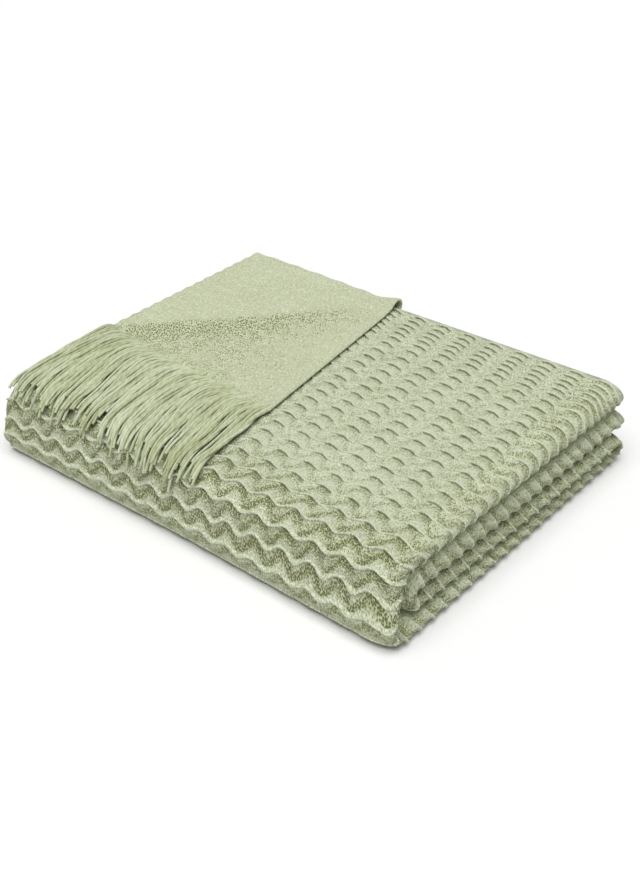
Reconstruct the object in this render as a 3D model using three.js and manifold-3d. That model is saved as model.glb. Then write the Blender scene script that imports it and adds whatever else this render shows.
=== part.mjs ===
// A knitted throw folded into a pack, with one fringed end laid over the top.
//
// The cloth is one sheet. Across its width it is folded into a strip of four full layers and one
// part layer, with a roll at the right end. Along its length the strip is folded in half twice, so
// it lies in four runs: an outer U that opens to the back, with an inner U inside it. At the back
// the part layer comes up over the edge and lies on top, reverse side up, and ends in the fringe.
//
// Millimetres, Z up. While it is drawn, X runs from the left end to the rolls and Y from the front
// to the back. The group is then set with its origin under the middle of its box.

import * as THREE from 'three';
import Module from 'manifold-3d';

const wasm = await Module();
wasm.setup();

const { clamp, lerp, smoothstep } = THREE.MathUtils;

// Driving dimensions of the pack
const PACK_DEPTH = 268;
const CLOTH = 2; // the knit between its ribs
const RUN_GAP = 0.8; // air between two runs
const LOWER_RADIUS = 14.5; // lower corner of the front bend, at its outer face
const UPPER_RADIUS = 22; // and its upper corner
const FRONT_LEAN = { left: 4, middle: 4.5, roll: 9 }; // how far its foot stands forward
const FRONT_SHARE = { lower: 0.25, upper: 0.75 }; // run thickness reached at its two corners
const FRONT_ROOM = 14.2; // from the front face to the inner U
const LEFT_FOLD_X = 3; // where the folds at the left end begin to turn
const MIDDLE_X = 174; // where the pack's middle is measured
const ROLL_X = 326; // where the layers begin to turn into the rolls
const INNER_ROLL_REACH = 4; // past ROLL_X
const ROLL_ARC = 12; // cloth taken up by each radian of a roll, for the ribs' waves

// The four runs, from the surface up: thickness at the left end, at the middle and at the rolls, by
// the front and by the back, and how far the roll reaches in X, by the front and by the back
const RUNS = {
  lowerOuter: {
    left: 11.8, middle: 12.6, rollFront: 10, rollBack: 10, reachFront: 343, reachBack: 347,
  },
  lowerInner: {
    left: 11.8, middle: 12.6, rollFront: 10.4, rollBack: 10.2, reachFront: 342, reachBack: 350,
  },
  upperInner: {
    left: 11.8, middle: 12.8, rollFront: 19, rollBack: 15, reachFront: 341, reachBack: 346,
  },
  upperOuter: {
    left: 11.8, middle: 13, rollFront: 13, rollBack: 18.5, reachFront: 341, reachBack: 343,
  },
};

// Each layer's depth in its run, as a share of the room between the outermost and innermost ones:
// over the left part, where the part layer lies among them, and at the rolls, where it doesn't
const LAYERS = {
  first: { left: 0, right: 0 },
  part: { left: 0.25, right: 0.25 },
  fourth: { left: 0.5, right: 1 / 3 },
  third: { left: 0.75, right: 2 / 3 },
  second: { left: 1, right: 1 },
};

// Wavy ribs of the face
const RIB_FOOT = 2.6; // half the width of a rib at its foot
const WAVES = 15; // between the left end and the rolls
const FRONT_RIBS = { pitch: 16.5, swing: 3.5, height: 2 }; // a wave swings so far each way
const BACK_RIBS = { pitch: 9.5, swing: 1.8, height: 1.4 };
const ROLL_RIBS = { pitch: 13.5, swing: 2.4, height: 2 }; // on the rolls of the hidden runs
const FIRST_RIB = 0.75; // pitches from the start of a hidden run to its first rib
const RIB_START = 0.5; // share of the lower front corner that stays plain
const ROW_MARGIN = 1; // plain rows stop this far before the ribs
const RIB_RISE = { from: 15, to: 60 }; // degrees round a roll where the ribs come up
const RIB_FADE = { from: 115, to: 155 }; // and where they fade

// The end laid over the top
const PART_LAYER_X = 147; // selvedge inside the pack and at the back edge
const FLAP_SELVEDGE_X = 171; // selvedge at the fringe
const FLAP_LEFT_X = 1; // left edge at the fringe
const FLAP_ROOT_LEFT = 109; // Y where the fringe begins, at the left edge
const FLAP_ROOT_RIGHT = 91; // and at the selvedge
const FLAP_CLEAR = { front: 2.7, back: 2.1 }; // over the face below, ribs included
const FLAP_RIDGE = 3; // height of the slack cloth behind the soft diagonal crease
const FLAP_RIDGE_SLOPE = { from: -22, to: 6 }; // Y from the crease where it rises
const FLAP_CORNER = 0.8; // lift of the corner at the back edge
const FLAP_CORNER_SPREAD = 14;

// Fringe
const STRANDS = 66;
const STRAND_RADIUS = 0.85;
const STRAND_LENGTH = { left: 110, right: 94 };
const STRAND_DRIFT = 12; // sideways drift of the last strand
const STRAND_CLEAR = 0.8; // over the ribs below
const STRAND_LEVEL = 1.87; // between the two levels that strands lie in
const STRAND_ARCH = 6; // how far the leftmost strands stand up behind the front edge
const STRAND_SETTLE = 18; // run in which a strand comes down from its root
const STRAND_FREE = 25; // run in which its sway grows
const STRAND_TIP = 0.6; // share of the radius left at the tip
const UNEVEN_ENDS = [{ size: 6, turn: 2.4 }, { size: 3, turn: 5.1 }]; // turn: radians a strand
const SWAYS = [{ size: 1.1, span: 17, phase: 1 }, { size: 0.5, span: 8, phase: 2 }];
const SWAY_PHASE = { level: 2, strand: 0.16 }; // radians
const BACKING = 3; // width of the edge that holds the strands
const PARTING = 0.3; // between that edge and the cloth

// Steps of the mesh
const BEND_STEPS = 8;
const FACE_STEPS = 5;
const FOLD_STEPS = 4;
const ROLL_STEPS = 6;
const FLAP_COLUMNS = 10;
const FLAP_ROWS = 11;
const STRAND_STEPS = 10;

const HALF = CLOTH / 2;
const QUARTER_TURN = Math.PI / 2;
const STACK = [RUNS.lowerOuter, RUNS.lowerInner, RUNS.upperInner, RUNS.upperOuter];

// Heights of the runs

const looseness = (x) => clamp((x - MIDDLE_X) / (ROLL_X - MIDDLE_X), 0, 1);
const backness = (y) => clamp(y / PACK_DEPTH, 0, 1);

function thickness(run, x, y) {
  const leftHalf = lerp(run.left, run.middle, clamp(x / MIDDLE_X, 0, 1));
  return lerp(leftHalf, lerp(run.rollFront, run.rollBack, backness(y)), looseness(x));
}

const frontLean = (x) => {
  const leftHalf = lerp(FRONT_LEAN.left, FRONT_LEAN.middle, clamp(x / MIDDLE_X, 0, 1));
  return lerp(leftHalf, FRONT_LEAN.roll, looseness(x));
};

function floorOf(run, x, y) {
  let z = 0;
  for (const below of STACK.slice(0, STACK.indexOf(run))) {
    z += thickness(below, x, y) + RUN_GAP;
  }
  return z;
}

const ceilingOf = (run, x, y) => floorOf(run, x, y) + thickness(run, x, y);
const packTop = (x, y) => ceilingOf(RUNS.upperOuter, x, y);

const meanThickness = (a, b, x, y) => (thickness(a, x, y) + thickness(b, x, y)) / 2;
const innerBendY = (x) =>
  FRONT_ROOM + RUN_GAP / 2 + meanThickness(RUNS.lowerInner, RUNS.upperInner, x, 0);
const backBendY = (x) =>
  PACK_DEPTH - RUN_GAP / 2 - meanThickness(RUNS.lowerOuter, RUNS.lowerInner, x, PACK_DEPTH);

// The strip's path. Each piece gives, for a share s of its length, the strip's thickness, the reach
// of its roll and where a point at a given X and depth under the outer face lies in Y and Z.

function straightRun(run, length, yFrom, yTo, height) {
  const yAt = (s, x) => lerp(yFrom(x), yTo(x), s);
  return {
    length,
    steps: 1,
    thickness: (s, x) => thickness(run, x, yAt(s, x)),
    reach: (s) => lerp(run.reachFront, run.reachBack, backness(yAt(s, ROLL_X))),
    place: (s, x, depth) => [yAt(s, x), height(x, yAt(s, x), depth)],
  };
}

// A half turn from an upper run down to a lower one, with the outer face inside or outside
function halfTurn(upper, lower, yCentre, side, outerFaceOut) {
  const y = yCentre(ROLL_X);
  const reachOf = (run) => lerp(run.reachFront, run.reachBack, backness(y));
  const through = (s, x) => lerp(thickness(upper, x, y), thickness(lower, x, y), s);
  return {
    length: QUARTER_TURN * meanThickness(upper, lower, 0, y),
    steps: BEND_STEPS,
    thickness: through,
    reach: (s) => lerp(reachOf(upper), reachOf(lower), s),
    place: (s, x, depth) => {
      const radius = RUN_GAP / 2 + (outerFaceOut ? through(s, x) - depth : depth);
      const angle = QUARTER_TURN - Math.PI * s;
      const zCentre = floorOf(upper, x, yCentre(x)) - RUN_GAP / 2;
      return [yCentre(x) + side * radius * Math.cos(angle), zCentre + radius * Math.sin(angle)];
    },
  };
}

// A piece of the outer U's front bend, whose thickness goes from the lower run's to the upper one's
// over the three pieces: a corner, the upright face and a corner
function frontPiece(length, steps, shareFrom, shareTo, place) {
  const { lowerOuter, upperOuter } = RUNS;
  const share = (s) => lerp(shareFrom, shareTo, s);
  return {
    length,
    steps,
    thickness: (s, x) => lerp(thickness(lowerOuter, x, 0), thickness(upperOuter, x, 0), share(s)),
    reach: (s) => lerp(lowerOuter.reachFront, upperOuter.reachFront, share(s)),
    place,
  };
}

const frontTop = (x) => packTop(x, UPPER_RADIUS);

const upperInnerRun = straightRun(
  RUNS.upperInner, PACK_DEPTH - innerBendY(0), () => PACK_DEPTH, innerBendY,
  (x, y, depth) => floorOf(RUNS.upperInner, x, y) + depth,
);
const innerBend = halfTurn(RUNS.upperInner, RUNS.lowerInner, innerBendY, -1, false);
const lowerInnerRun = straightRun(
  RUNS.lowerInner, backBendY(0) - innerBendY(0), innerBendY, backBendY,
  (x, y, depth) => ceilingOf(RUNS.lowerInner, x, y) - depth,
);
const backBend = halfTurn(RUNS.lowerInner, RUNS.lowerOuter, backBendY, 1, true);
const lowerOuterRun = straightRun(
  RUNS.lowerOuter, backBendY(0) - LOWER_RADIUS, backBendY, (x) => LOWER_RADIUS - frontLean(x),
  (x, y, depth) => depth,
);
const lowerCorner = frontPiece(
  QUARTER_TURN * LOWER_RADIUS, BEND_STEPS / 2, 0, FRONT_SHARE.lower,
  (s, x, depth) => {
    const radius = LOWER_RADIUS - depth;
    const angle = QUARTER_TURN * s;
    const yCentre = LOWER_RADIUS - frontLean(x);
    return [yCentre - radius * Math.sin(angle), LOWER_RADIUS - radius * Math.cos(angle)];
  },
);
const frontFace = frontPiece(
  frontTop(0) - LOWER_RADIUS - UPPER_RADIUS, FACE_STEPS, FRONT_SHARE.lower, FRONT_SHARE.upper,
  (s, x, depth) => [
    depth - frontLean(x) * (1 - s),
    lerp(LOWER_RADIUS, frontTop(x) - UPPER_RADIUS, s),
  ],
);
const upperCorner = frontPiece(
  QUARTER_TURN * UPPER_RADIUS, BEND_STEPS / 2, FRONT_SHARE.upper, 1,
  (s, x, depth) => {
    const radius = UPPER_RADIUS - depth;
    const angle = QUARTER_TURN * s;
    const zCentre = frontTop(x) - UPPER_RADIUS;
    return [UPPER_RADIUS - radius * Math.cos(angle), zCentre + radius * Math.sin(angle)];
  },
);
const upperOuterRun = straightRun(
  RUNS.upperOuter, PACK_DEPTH - UPPER_RADIUS, () => UPPER_RADIUS, () => PACK_DEPTH,
  (x, y, depth) => packTop(x, y) - depth,
);

const PATH = [
  upperInnerRun, innerBend, lowerInnerRun, backBend, lowerOuterRun,
  lowerCorner, frontFace, upperCorner, upperOuterRun,
];
let pathLength = 0;
for (const piece of PATH) {
  piece.start = pathLength;
  pathLength += piece.length;
}

function locate(v) {
  const piece = PATH.findLast((each) => v >= each.start) ?? PATH[0];
  return { piece, s: clamp((v - piece.start) / piece.length, 0, 1) };
}

function place(v, x, depth) {
  const { piece, s } = locate(v);
  return [x, ...piece.place(s, x, depth)];
}

// Rows of the mesh along the path: plain stations everywhere, and rib rows on the runs. A row has
// its station v, its swing with the rib's waves and its height over the cloth between ribs.

const plainRow = (v) => ({ v, swing: 0, height: 0 });

function plainStations(piece) {
  const shares = Array.from({ length: piece.steps }, (_, i) => i / piece.steps);
  return shares.map((s) => plainRow(piece.start + s * piece.length));
}

const coarseRows = [...PATH.flatMap(plainStations), plainRow(pathLength)];

// On the rolls of a hidden run each rib has a crest, and the hollow between two has one row
function hiddenRibs(piece) {
  const { pitch, swing, height } = ROLL_RIBS;
  const count = Math.floor(piece.length / pitch) - 1;
  const rows = [plainRow(piece.start)];
  for (let i = 0; i < count; i += 1) {
    const v = piece.start + pitch * (i + FIRST_RIB);
    rows.push({ v, swing, height });
    rows.push({ v: v + pitch / 2, swing, height: 0 });
  }
  return rows;
}

// Over the front and the top each rib has two feet and a crest, closer and flatter to the back
const ribZoneStart = lowerCorner.start + RIB_START * lowerCorner.length;

function faceRibs() {
  const rows = [plainRow(ribZoneStart)];
  let v = ribZoneStart + FRONT_RIBS.pitch / 2;
  while (v < pathLength - BACK_RIBS.pitch / 2) {
    const share = (v - ribZoneStart) / (pathLength - ribZoneStart);
    const swing = lerp(FRONT_RIBS.swing, BACK_RIBS.swing, share);
    const pitch = lerp(FRONT_RIBS.pitch, BACK_RIBS.pitch, share);
    const height = lerp(FRONT_RIBS.height, BACK_RIBS.height, share);
    rows.push({ v: v - RIB_FOOT, swing, height: 0 });
    rows.push({ v, swing, height });
    rows.push({ v: v + RIB_FOOT, swing, height: 0 });
    if (v < upperOuterRun.start) {
      rows.push({ v: v + pitch / 2, swing, height: 0 });
    }
    v += pitch;
  }
  rows.push(plainRow(pathLength));
  return rows;
}

const faceRows = faceRibs();
const beforeRibs = coarseRows.filter((row) => row.v < ribZoneStart - ROW_MARGIN);
const rollRows = [
  ...hiddenRibs(upperInnerRun),
  ...plainStations(innerBend),
  ...hiddenRibs(lowerInnerRun),
  ...plainStations(backBend),
  ...hiddenRibs(lowerOuterRun),
  ...beforeRibs.filter((row) => row.v >= lowerCorner.start),
  ...faceRows,
];

// The wave goes on round the roll, by the length of cloth u from the left end
const wave = (u) => -Math.cos((2 * Math.PI * u * WAVES) / ROLL_X);

// Layers and turns of the strip's section. A rail is a line of the cloth's skin along the path: at
// gives its X and depth, out is the way a rib stands there, and s orders rails round the section.

function layerDepth(layer, x, v) {
  const { piece, s } = locate(v);
  const share = lerp(layer.left, layer.right, looseness(x));
  return HALF + share * (piece.thickness(s, x) - CLOTH);
}

function flatRail(s, layer, x, side) {
  return {
    s,
    u: x,
    out: [0, side],
    at: (v) => [x, layerDepth(layer, x, v) + side * HALF],
  };
}

function turnRail(s, from, to, xStart, direction, reach, offset, angle) {
  return {
    s: s + angle / Math.PI,
    u: xStart + ROLL_ARC * angle,
    angle,
    out: [direction * Math.sin(angle), -Math.cos(angle)],
    at: (v) => {
      const a = layerDepth(from, xStart, v);
      const b = layerDepth(to, xStart, v);
      const rise = (b - a) / 2;
      const radius = rise + Math.sign(rise) * offset;
      const x = xStart + direction * (reach(v) + offset) * Math.sin(angle);
      return [x, (a + b) / 2 - radius * Math.cos(angle)];
    },
  };
}

function turnRails(s, from, to, xStart, direction, reach, offset, steps) {
  return Array.from({ length: steps - 1 }, (_, i) =>
    turnRail(s, from, to, xStart, direction, reach, offset, (Math.PI * (i + 1)) / steps));
}

function flatRails(s, layer, xs, side) {
  return xs.map((x, i) => flatRail(s + i / (xs.length - 1), layer, x, side));
}

const rollReach = (v) => {
  const { piece, s } = locate(v);
  return piece.reach(s) - ROLL_X - HALF;
};
const innerRollReach = () => INNER_ROLL_REACH;
const leftFoldReach = () => LEFT_FOLD_X - CLOTH;

// Rails of one side of the cloth, from the first layer's selvedge to the part layer's: side is -1
// on the face and 1 on the reverse, as seen on the first layer
function sectionRails(side) {
  const { first, second, third, fourth, part } = LAYERS;
  const right = [LEFT_FOLD_X, MIDDLE_X, ROLL_X];
  const left = [...right].reverse();
  const out = -side * HALF;
  const rollSteps = side < 0 ? ROLL_STEPS : FOLD_STEPS;
  return {
    first: flatRails(0, first, [0, MIDDLE_X, ROLL_X], side),
    roll: turnRails(1, first, second, ROLL_X, 1, rollReach, out, rollSteps),
    rest: [
      ...flatRails(2, second, left, -side),
      ...turnRails(3, second, third, LEFT_FOLD_X, -1, leftFoldReach, out, FOLD_STEPS),
      ...flatRails(4, third, right, side),
      ...turnRails(5, third, fourth, ROLL_X, 1, innerRollReach, -out, FOLD_STEPS),
      ...flatRails(6, fourth, left, -side),
      ...turnRails(7, fourth, part, LEFT_FOLD_X, -1, leftFoldReach, out, FOLD_STEPS),
    ],
    part: flatRails(8, part, [LEFT_FOLD_X, PART_LAYER_X], side),
  };
}

// A skin collects points and triangles, and joins two lines of points into a strip

function makeSkin() {
  const points = [];
  const triangles = [];
  return {
    points,
    triangles,
    add(x, y, z) {
      points.push(x, y, z);
      return points.length / 3 - 1;
    },
    // Lines are lists of { at, id } with rising at. The face looks out of the page where the left
    // line is on the left and both run away from the viewer's feet.
    strip(left, right) {
      let i = 0;
      let j = 0;
      while (i < left.length - 1 || j < right.length - 1) {
        const nextLeft = i < left.length - 1 ? left[i + 1].at : Infinity;
        const nextRight = j < right.length - 1 ? right[j + 1].at : Infinity;
        if (nextLeft < nextRight) {
          triangles.push(left[i].id, right[j].id, left[i + 1].id);
          i += 1;
        } else {
          triangles.push(left[i].id, right[j].id, right[j + 1].id);
          j += 1;
        }
      }
    },
    strips(lines) {
      for (let i = 1; i < lines.length; i += 1) {
        this.strip(lines[i - 1], lines[i]);
      }
    },
    geometry() {
      const geometry = new THREE.BufferGeometry();
      geometry.setAttribute('position', new THREE.Float32BufferAttribute(points, 3));
      geometry.setIndex(triangles);
      geometry.computeVertexNormals();
      return geometry;
    },
  };
}

// Ribs stand at full height where the face shows and fade where two rolls lie on each other
function ribWeight(rail, v) {
  if (rail.angle === undefined) {
    return v >= ribZoneStart ? 1 : 0;
  }
  const degrees = THREE.MathUtils.radToDeg(rail.angle);
  const risen = v >= ribZoneStart ? 1 : smoothstep(degrees, RIB_RISE.from, RIB_RISE.to);
  return risen * (1 - smoothstep(degrees, RIB_FADE.from, RIB_FADE.to));
}

function line(skin, rail, rows, ribbed) {
  return rows.map((row) => {
    const v = row.v + (ribbed ? row.swing * wave(rail.u) : 0);
    const [x, depth] = rail.at(v);
    const rib = ribbed ? row.height * ribWeight(rail, row.v) : 0;
    const [outX, outDepth] = rail.out;
    const id = skin.add(...place(v, x + outX * rib, depth + outDepth * rib));
    return { at: row.v, id };
  });
}

// The end laid over the top: columns go across it from the left edge to the selvedge

const flapRootY = (c) => lerp(FLAP_ROOT_LEFT, FLAP_ROOT_RIGHT, c);

function flapX(c, t) {
  return lerp(lerp(LEFT_FOLD_X, FLAP_LEFT_X, t), lerp(PART_LAYER_X, FLAP_SELVEDGE_X, t), c);
}

function flapHeight(c, x, y) {
  const crease = lerp(FLAP_ROOT_LEFT, PACK_DEPTH, c);
  const { from, to } = FLAP_RIDGE_SLOPE;
  const ridge = FLAP_RIDGE * (1 - c * c) * smoothstep(y - crease, from, to);
  const away = Math.hypot(x - PART_LAYER_X, y - PACK_DEPTH) / FLAP_CORNER_SPREAD;
  const corner = FLAP_CORNER * Math.exp(-away * away);
  const clear = lerp(FLAP_CLEAR.front, FLAP_CLEAR.back, backness(y));
  return packTop(x, y) + clear + HALF + ridge + corner;
}

function flapBendPoint(c, turn, offset) {
  const x = flapX(c, 0);
  const low = packTop(x, PACK_DEPTH) - layerDepth(LAYERS.part, x, pathLength);
  const high = flapHeight(c, x, PACK_DEPTH);
  const radius = (high - low) / 2 + offset;
  const angle = Math.PI * (turn - 0.5);
  return [x, PACK_DEPTH + radius * Math.cos(angle), (low + high) / 2 + radius * Math.sin(angle)];
}

function flapPoint(c, t, offset) {
  const x = flapX(c, t);
  const y = lerp(PACK_DEPTH, flapRootY(c), t);
  return [x, y, flapHeight(c, x, y) + offset];
}

// Lines of one side of the flap along each column; the first point is on the part layer's end
function flapLines(skin, offset) {
  return Array.from({ length: FLAP_COLUMNS + 1 }, (_, k) => {
    const c = k / FLAP_COLUMNS;
    const points = [];
    for (let i = 0; i <= BEND_STEPS; i += 1) {
      points.push({ at: i, id: skin.add(...flapBendPoint(c, i / BEND_STEPS, offset)) });
    }
    for (let i = 1; i <= FLAP_ROWS; i += 1) {
      points.push({ at: BEND_STEPS + i, id: skin.add(...flapPoint(c, i / FLAP_ROWS, offset)) });
    }
    return points;
  });
}

const acrossRow = (lines, index) =>
  lines.map((points, k) => ({ at: k / (lines.length - 1), id: points.at(index).id }));

function buildCloth() {
  const skin = makeSkin();
  const face = sectionRails(-1);
  const reverse = sectionRails(1);

  // First layer's face: three plain rails up to the ribs, then a column for each half wave
  const rollEdge = line(skin, face.first[2], rollRows, true);
  const plain = face.first.slice(0, 2).map((rail) => line(skin, rail, beforeRibs, false));
  const beforeEdge = rollEdge.filter((point) => point.at < ribZoneStart - ROW_MARGIN);
  skin.strips([...plain, beforeEdge]);

  const ribEdge = rollEdge.filter((point) => point.at >= ribZoneStart - ROW_MARGIN);
  const columns = [];
  for (let i = 0; i < WAVES * 2; i += 1) {
    const x = (ROLL_X * i) / (WAVES * 2);
    columns.push(line(skin, flatRail(x / ROLL_X, LAYERS.first, x, -1), faceRows, true));
  }
  columns.push(ribEdge);
  skin.strips(columns);
  skin.strip(acrossRow(columns, 0), acrossRow([...plain, beforeEdge], -1));

  // Roll and the other layers' faces, then the reverse side back to the first selvedge
  const rollLines = face.roll.map((rail) => line(skin, rail, rollRows, true));
  const restLines = face.rest.map((rail) => line(skin, rail, coarseRows, false));
  const upperCoarse = coarseRows.slice(0, -1);
  const partLines = face.part.map((rail) => line(skin, rail, upperCoarse, false));

  const reverseRails = [...reverse.first, ...reverse.roll, ...reverse.rest];
  const selvedgeRows = [...beforeRibs, ...faceRows];
  const reverseLines = reverseRails.map((rail, k) =>
    line(skin, rail, k === 0 ? selvedgeRows : coarseRows, false));
  const reversePart = reverse.part.map((rail) => line(skin, rail, upperCoarse, false));

  // Flap, whose first points close the part layer
  const flapFace = flapLines(skin, -HALF);
  const flapReverse = flapLines(skin, HALF);
  const partEnd = (lines, flap) => [
    [...lines[0], { at: pathLength, id: flap[0][0].id }],
    [...lines[1], { at: pathLength, id: flap.at(-1)[0].id }],
  ];
  const [partLeft, partRight] = partEnd(partLines, flapFace);
  const [backLeft, backRight] = partEnd(reversePart, flapReverse);

  skin.strips([rollEdge, ...rollLines, ...restLines, partLeft]);
  skin.strips(partLines);
  skin.strip(partRight, backRight);
  skin.strips([...reversePart].reverse());
  skin.strips([backLeft, ...[...reverseLines].reverse()]);
  const selvedge = [...plain[0], ...columns[0]];
  skin.strip(reverseLines[0], selvedge);

  // From the part layer's last plain row to the flap's columns, on both sides
  skin.strip(acrossRow(flapFace, 0), acrossRow(partLines, -1));
  skin.strip(acrossRow([...flapReverse].reverse(), 0), acrossRow([...reversePart].reverse(), -1));
  skin.strips(flapFace);
  skin.strip(flapFace.at(-1), flapReverse.at(-1));
  skin.strips([...flapReverse].reverse());
  skin.strip(flapReverse[0], flapFace[0]);
  skin.strip(acrossRow(flapReverse, -1), acrossRow(flapFace, -1));

  // Ends of the strip: ribbons between the face and the reverse
  const ends = (rails, lines, index) =>
    lines.map((points, k) => ({ at: rails[k].s, id: points.at(index).id }));
  const faceRails = [...face.first, ...face.roll, ...face.rest, face.part[0]];
  const backRails = [...reverseRails, reverse.part[0]];
  const startFace = [...plain, rollEdge, ...rollLines, ...restLines, partLeft];
  skin.strip(
    [...ends(faceRails, startFace, 0), { at: face.part[1].s, id: partRight[0].id }],
    [...ends(backRails, [...reverseLines, backLeft], 0), { at: face.part[1].s, id: backRight[0].id }],
  );
  const columnEnds = columns.map((points, k) => ({ at: k / (WAVES * 2), id: points.at(-1).id }));
  const laterRails = [...face.roll, ...face.rest, face.part[0]];
  const laterLines = [...rollLines, ...restLines, partLeft];
  skin.strip(
    ends(backRails, [...reverseLines, backLeft], -1),
    [...columnEnds, ...ends(laterRails, laterLines, -1)],
  );
  return skin.geometry();
}

// Fringe: an edge in line with the flap's end, and strands that flow down over the front

function toManifold(skin) {
  const mesh = new wasm.Mesh({
    numProp: 3,
    vertProperties: new Float32Array(skin.points),
    triVerts: new Uint32Array(skin.triangles),
  });
  return new wasm.Manifold(mesh);
}

// A closed tube from rings of points, each ring listed anticlockwise as seen along the tube
function tube(rings) {
  const skin = makeSkin();
  const sides = rings[0].length;
  const ids = rings.map((ring) => ring.map((point) => skin.add(...point)));
  const lines = Array.from({ length: sides + 1 }, (_, k) =>
    ids.map((ring, at) => ({ at, id: ring[k % sides] })));
  skin.strips(lines);
  for (let k = 1; k < sides - 1; k += 1) {
    skin.triangles.push(ids[0][0], ids[0][k + 1], ids[0][k]);
    skin.triangles.push(ids.at(-1)[0], ids.at(-1)[k], ids.at(-1)[k + 1]);
  }
  return toManifold(skin);
}

function backingEdge() {
  const rings = [];
  for (let k = 0; k <= FLAP_COLUMNS; k += 1) {
    const c = k / FLAP_COLUMNS;
    const [x, y, z] = flapPoint(c, 1, 0);
    const near = y - PARTING;
    const far = near - BACKING;
    rings.push([
      [x, far, z + HALF], [x, far, z - HALF], [x, near, z - HALF], [x, near, z + HALF],
    ]);
  }
  return tube(rings);
}

const sum = (list, term) => list.reduce((total, each) => total + term(each), 0);

// Strands lie in two levels, so that neighbours part and cross without touching
function strandRings(index) {
  const c = (index + 0.5) / STRANDS;
  const level = index % 2;
  const [rootX, rootY, rootZ] = flapPoint(c, 1, 0);
  const rootV = upperOuterRun.start + (rootY - PARTING - BACKING / 2 - UPPER_RADIUS);
  const rise = FRONT_RIBS.height + STRAND_CLEAR + STRAND_RADIUS + level * STRAND_LEVEL;
  const start = rootZ - packTop(rootX, rootY);
  const uneven = sum(UNEVEN_ENDS, ({ size, turn }) => size * Math.sin(index * turn));
  const length = lerp(STRAND_LENGTH.left, STRAND_LENGTH.right, c) + uneven;
  const turned = level * SWAY_PHASE.level + index * SWAY_PHASE.strand;
  const rings = [];
  for (let i = 0; i <= STRAND_STEPS; i += 1) {
    const share = i / STRAND_STEPS;
    const run = length * share;
    const sway = smoothstep(run, 0, STRAND_FREE)
      * sum(SWAYS, ({ size, span, phase }) => size * Math.sin(run / span + phase * turned));
    const x = rootX + STRAND_DRIFT * c * share + sway;
    const arch = STRAND_ARCH * (1 - c) * Math.sin(Math.PI * Math.sqrt(share));
    const height = lerp(start, rise, smoothstep(run, 0, STRAND_SETTLE)) + arch;
    const taper = i === STRAND_STEPS ? STRAND_TIP : 1;
    const corner = (angle) => {
      const across = taper * STRAND_RADIUS * Math.cos(angle);
      const out = taper * STRAND_RADIUS * Math.sin(angle);
      return place(rootV - run, x + across, -height - out);
    };
    rings.push([corner(QUARTER_TURN), corner(Math.PI * 7 / 6), corner(-Math.PI / 6)]);
  }
  return rings;
}

function buildFringe() {
  let solid = backingEdge();
  for (let index = 0; index < STRANDS; index += 1) {
    solid = solid.add(tube(strandRings(index)));
  }
  const { numProp, vertProperties, triVerts } = solid.getMesh();
  const points = [];
  for (let i = 0; i < vertProperties.length; i += numProp) {
    points.push(...vertProperties.slice(i, i + 3));
  }
  const geometry = new THREE.BufferGeometry();
  geometry.setAttribute('position', new THREE.Float32BufferAttribute(points, 3));
  geometry.setIndex(Array.from(triVerts));
  geometry.computeVertexNormals();
  return geometry;
}

const sageKnit = new THREE.MeshStandardMaterial({ color: 0xc2c6a4, roughness: 0.95, metalness: 0 });
const sageYarn = new THREE.MeshStandardMaterial({ color: 0xcdd1b2, roughness: 0.95, metalness: 0 });

const cloth = new THREE.Mesh(buildCloth(), sageKnit);
cloth.name = 'throw_cloth';
const fringe = new THREE.Mesh(buildFringe(), sageYarn);
fringe.name = 'fringe';

const throwGroup = new THREE.Group();
throwGroup.add(cloth, fringe);
const box = new THREE.Box3().setFromObject(throwGroup);
const centre = box.getCenter(new THREE.Vector3());
throwGroup.position.set(-centre.x, -centre.y, -box.min.z);

export default throwGroup;
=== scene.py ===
"""A knitted throw folded into a pack: its ribbed cloth, its fringe and a plain stage."""

import math
from collections import namedtuple

import bpy
from bpy.props import FloatProperty, FloatVectorProperty, IntProperty, PointerProperty
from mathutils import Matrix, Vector


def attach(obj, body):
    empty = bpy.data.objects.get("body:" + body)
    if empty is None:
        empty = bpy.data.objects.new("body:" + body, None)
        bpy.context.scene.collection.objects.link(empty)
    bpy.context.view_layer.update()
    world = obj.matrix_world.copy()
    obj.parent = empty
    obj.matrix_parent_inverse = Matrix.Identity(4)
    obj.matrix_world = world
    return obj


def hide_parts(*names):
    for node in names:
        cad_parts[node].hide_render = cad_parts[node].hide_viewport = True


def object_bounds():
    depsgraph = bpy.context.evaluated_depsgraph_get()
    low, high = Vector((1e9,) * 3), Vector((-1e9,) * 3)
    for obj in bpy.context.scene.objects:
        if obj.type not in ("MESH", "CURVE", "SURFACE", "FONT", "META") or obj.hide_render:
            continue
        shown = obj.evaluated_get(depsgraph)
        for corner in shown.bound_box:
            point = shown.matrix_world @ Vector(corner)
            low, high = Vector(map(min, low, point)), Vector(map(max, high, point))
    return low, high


bl_info = {
    "name": "Folded Knitted Throw",
    "version": (1, 0, 0),
    "blender": (4, 5, 0),
    "location": "View3D > Sidebar > Throw",
    "description": "Makes a folded knitted throw with a fringe, and a plain stage for it",
    "category": "Add Mesh",
}

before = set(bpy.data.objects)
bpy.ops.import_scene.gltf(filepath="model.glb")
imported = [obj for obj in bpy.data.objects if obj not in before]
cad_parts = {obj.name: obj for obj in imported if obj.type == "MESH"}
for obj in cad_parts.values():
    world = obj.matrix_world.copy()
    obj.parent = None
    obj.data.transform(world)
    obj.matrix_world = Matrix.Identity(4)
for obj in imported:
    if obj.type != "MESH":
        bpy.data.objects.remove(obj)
CAD_LOW, CAD_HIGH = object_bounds()

BODY = "root"
UNEVEN_BEND = 0.6
UNEVEN_TURN = 1.7


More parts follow.
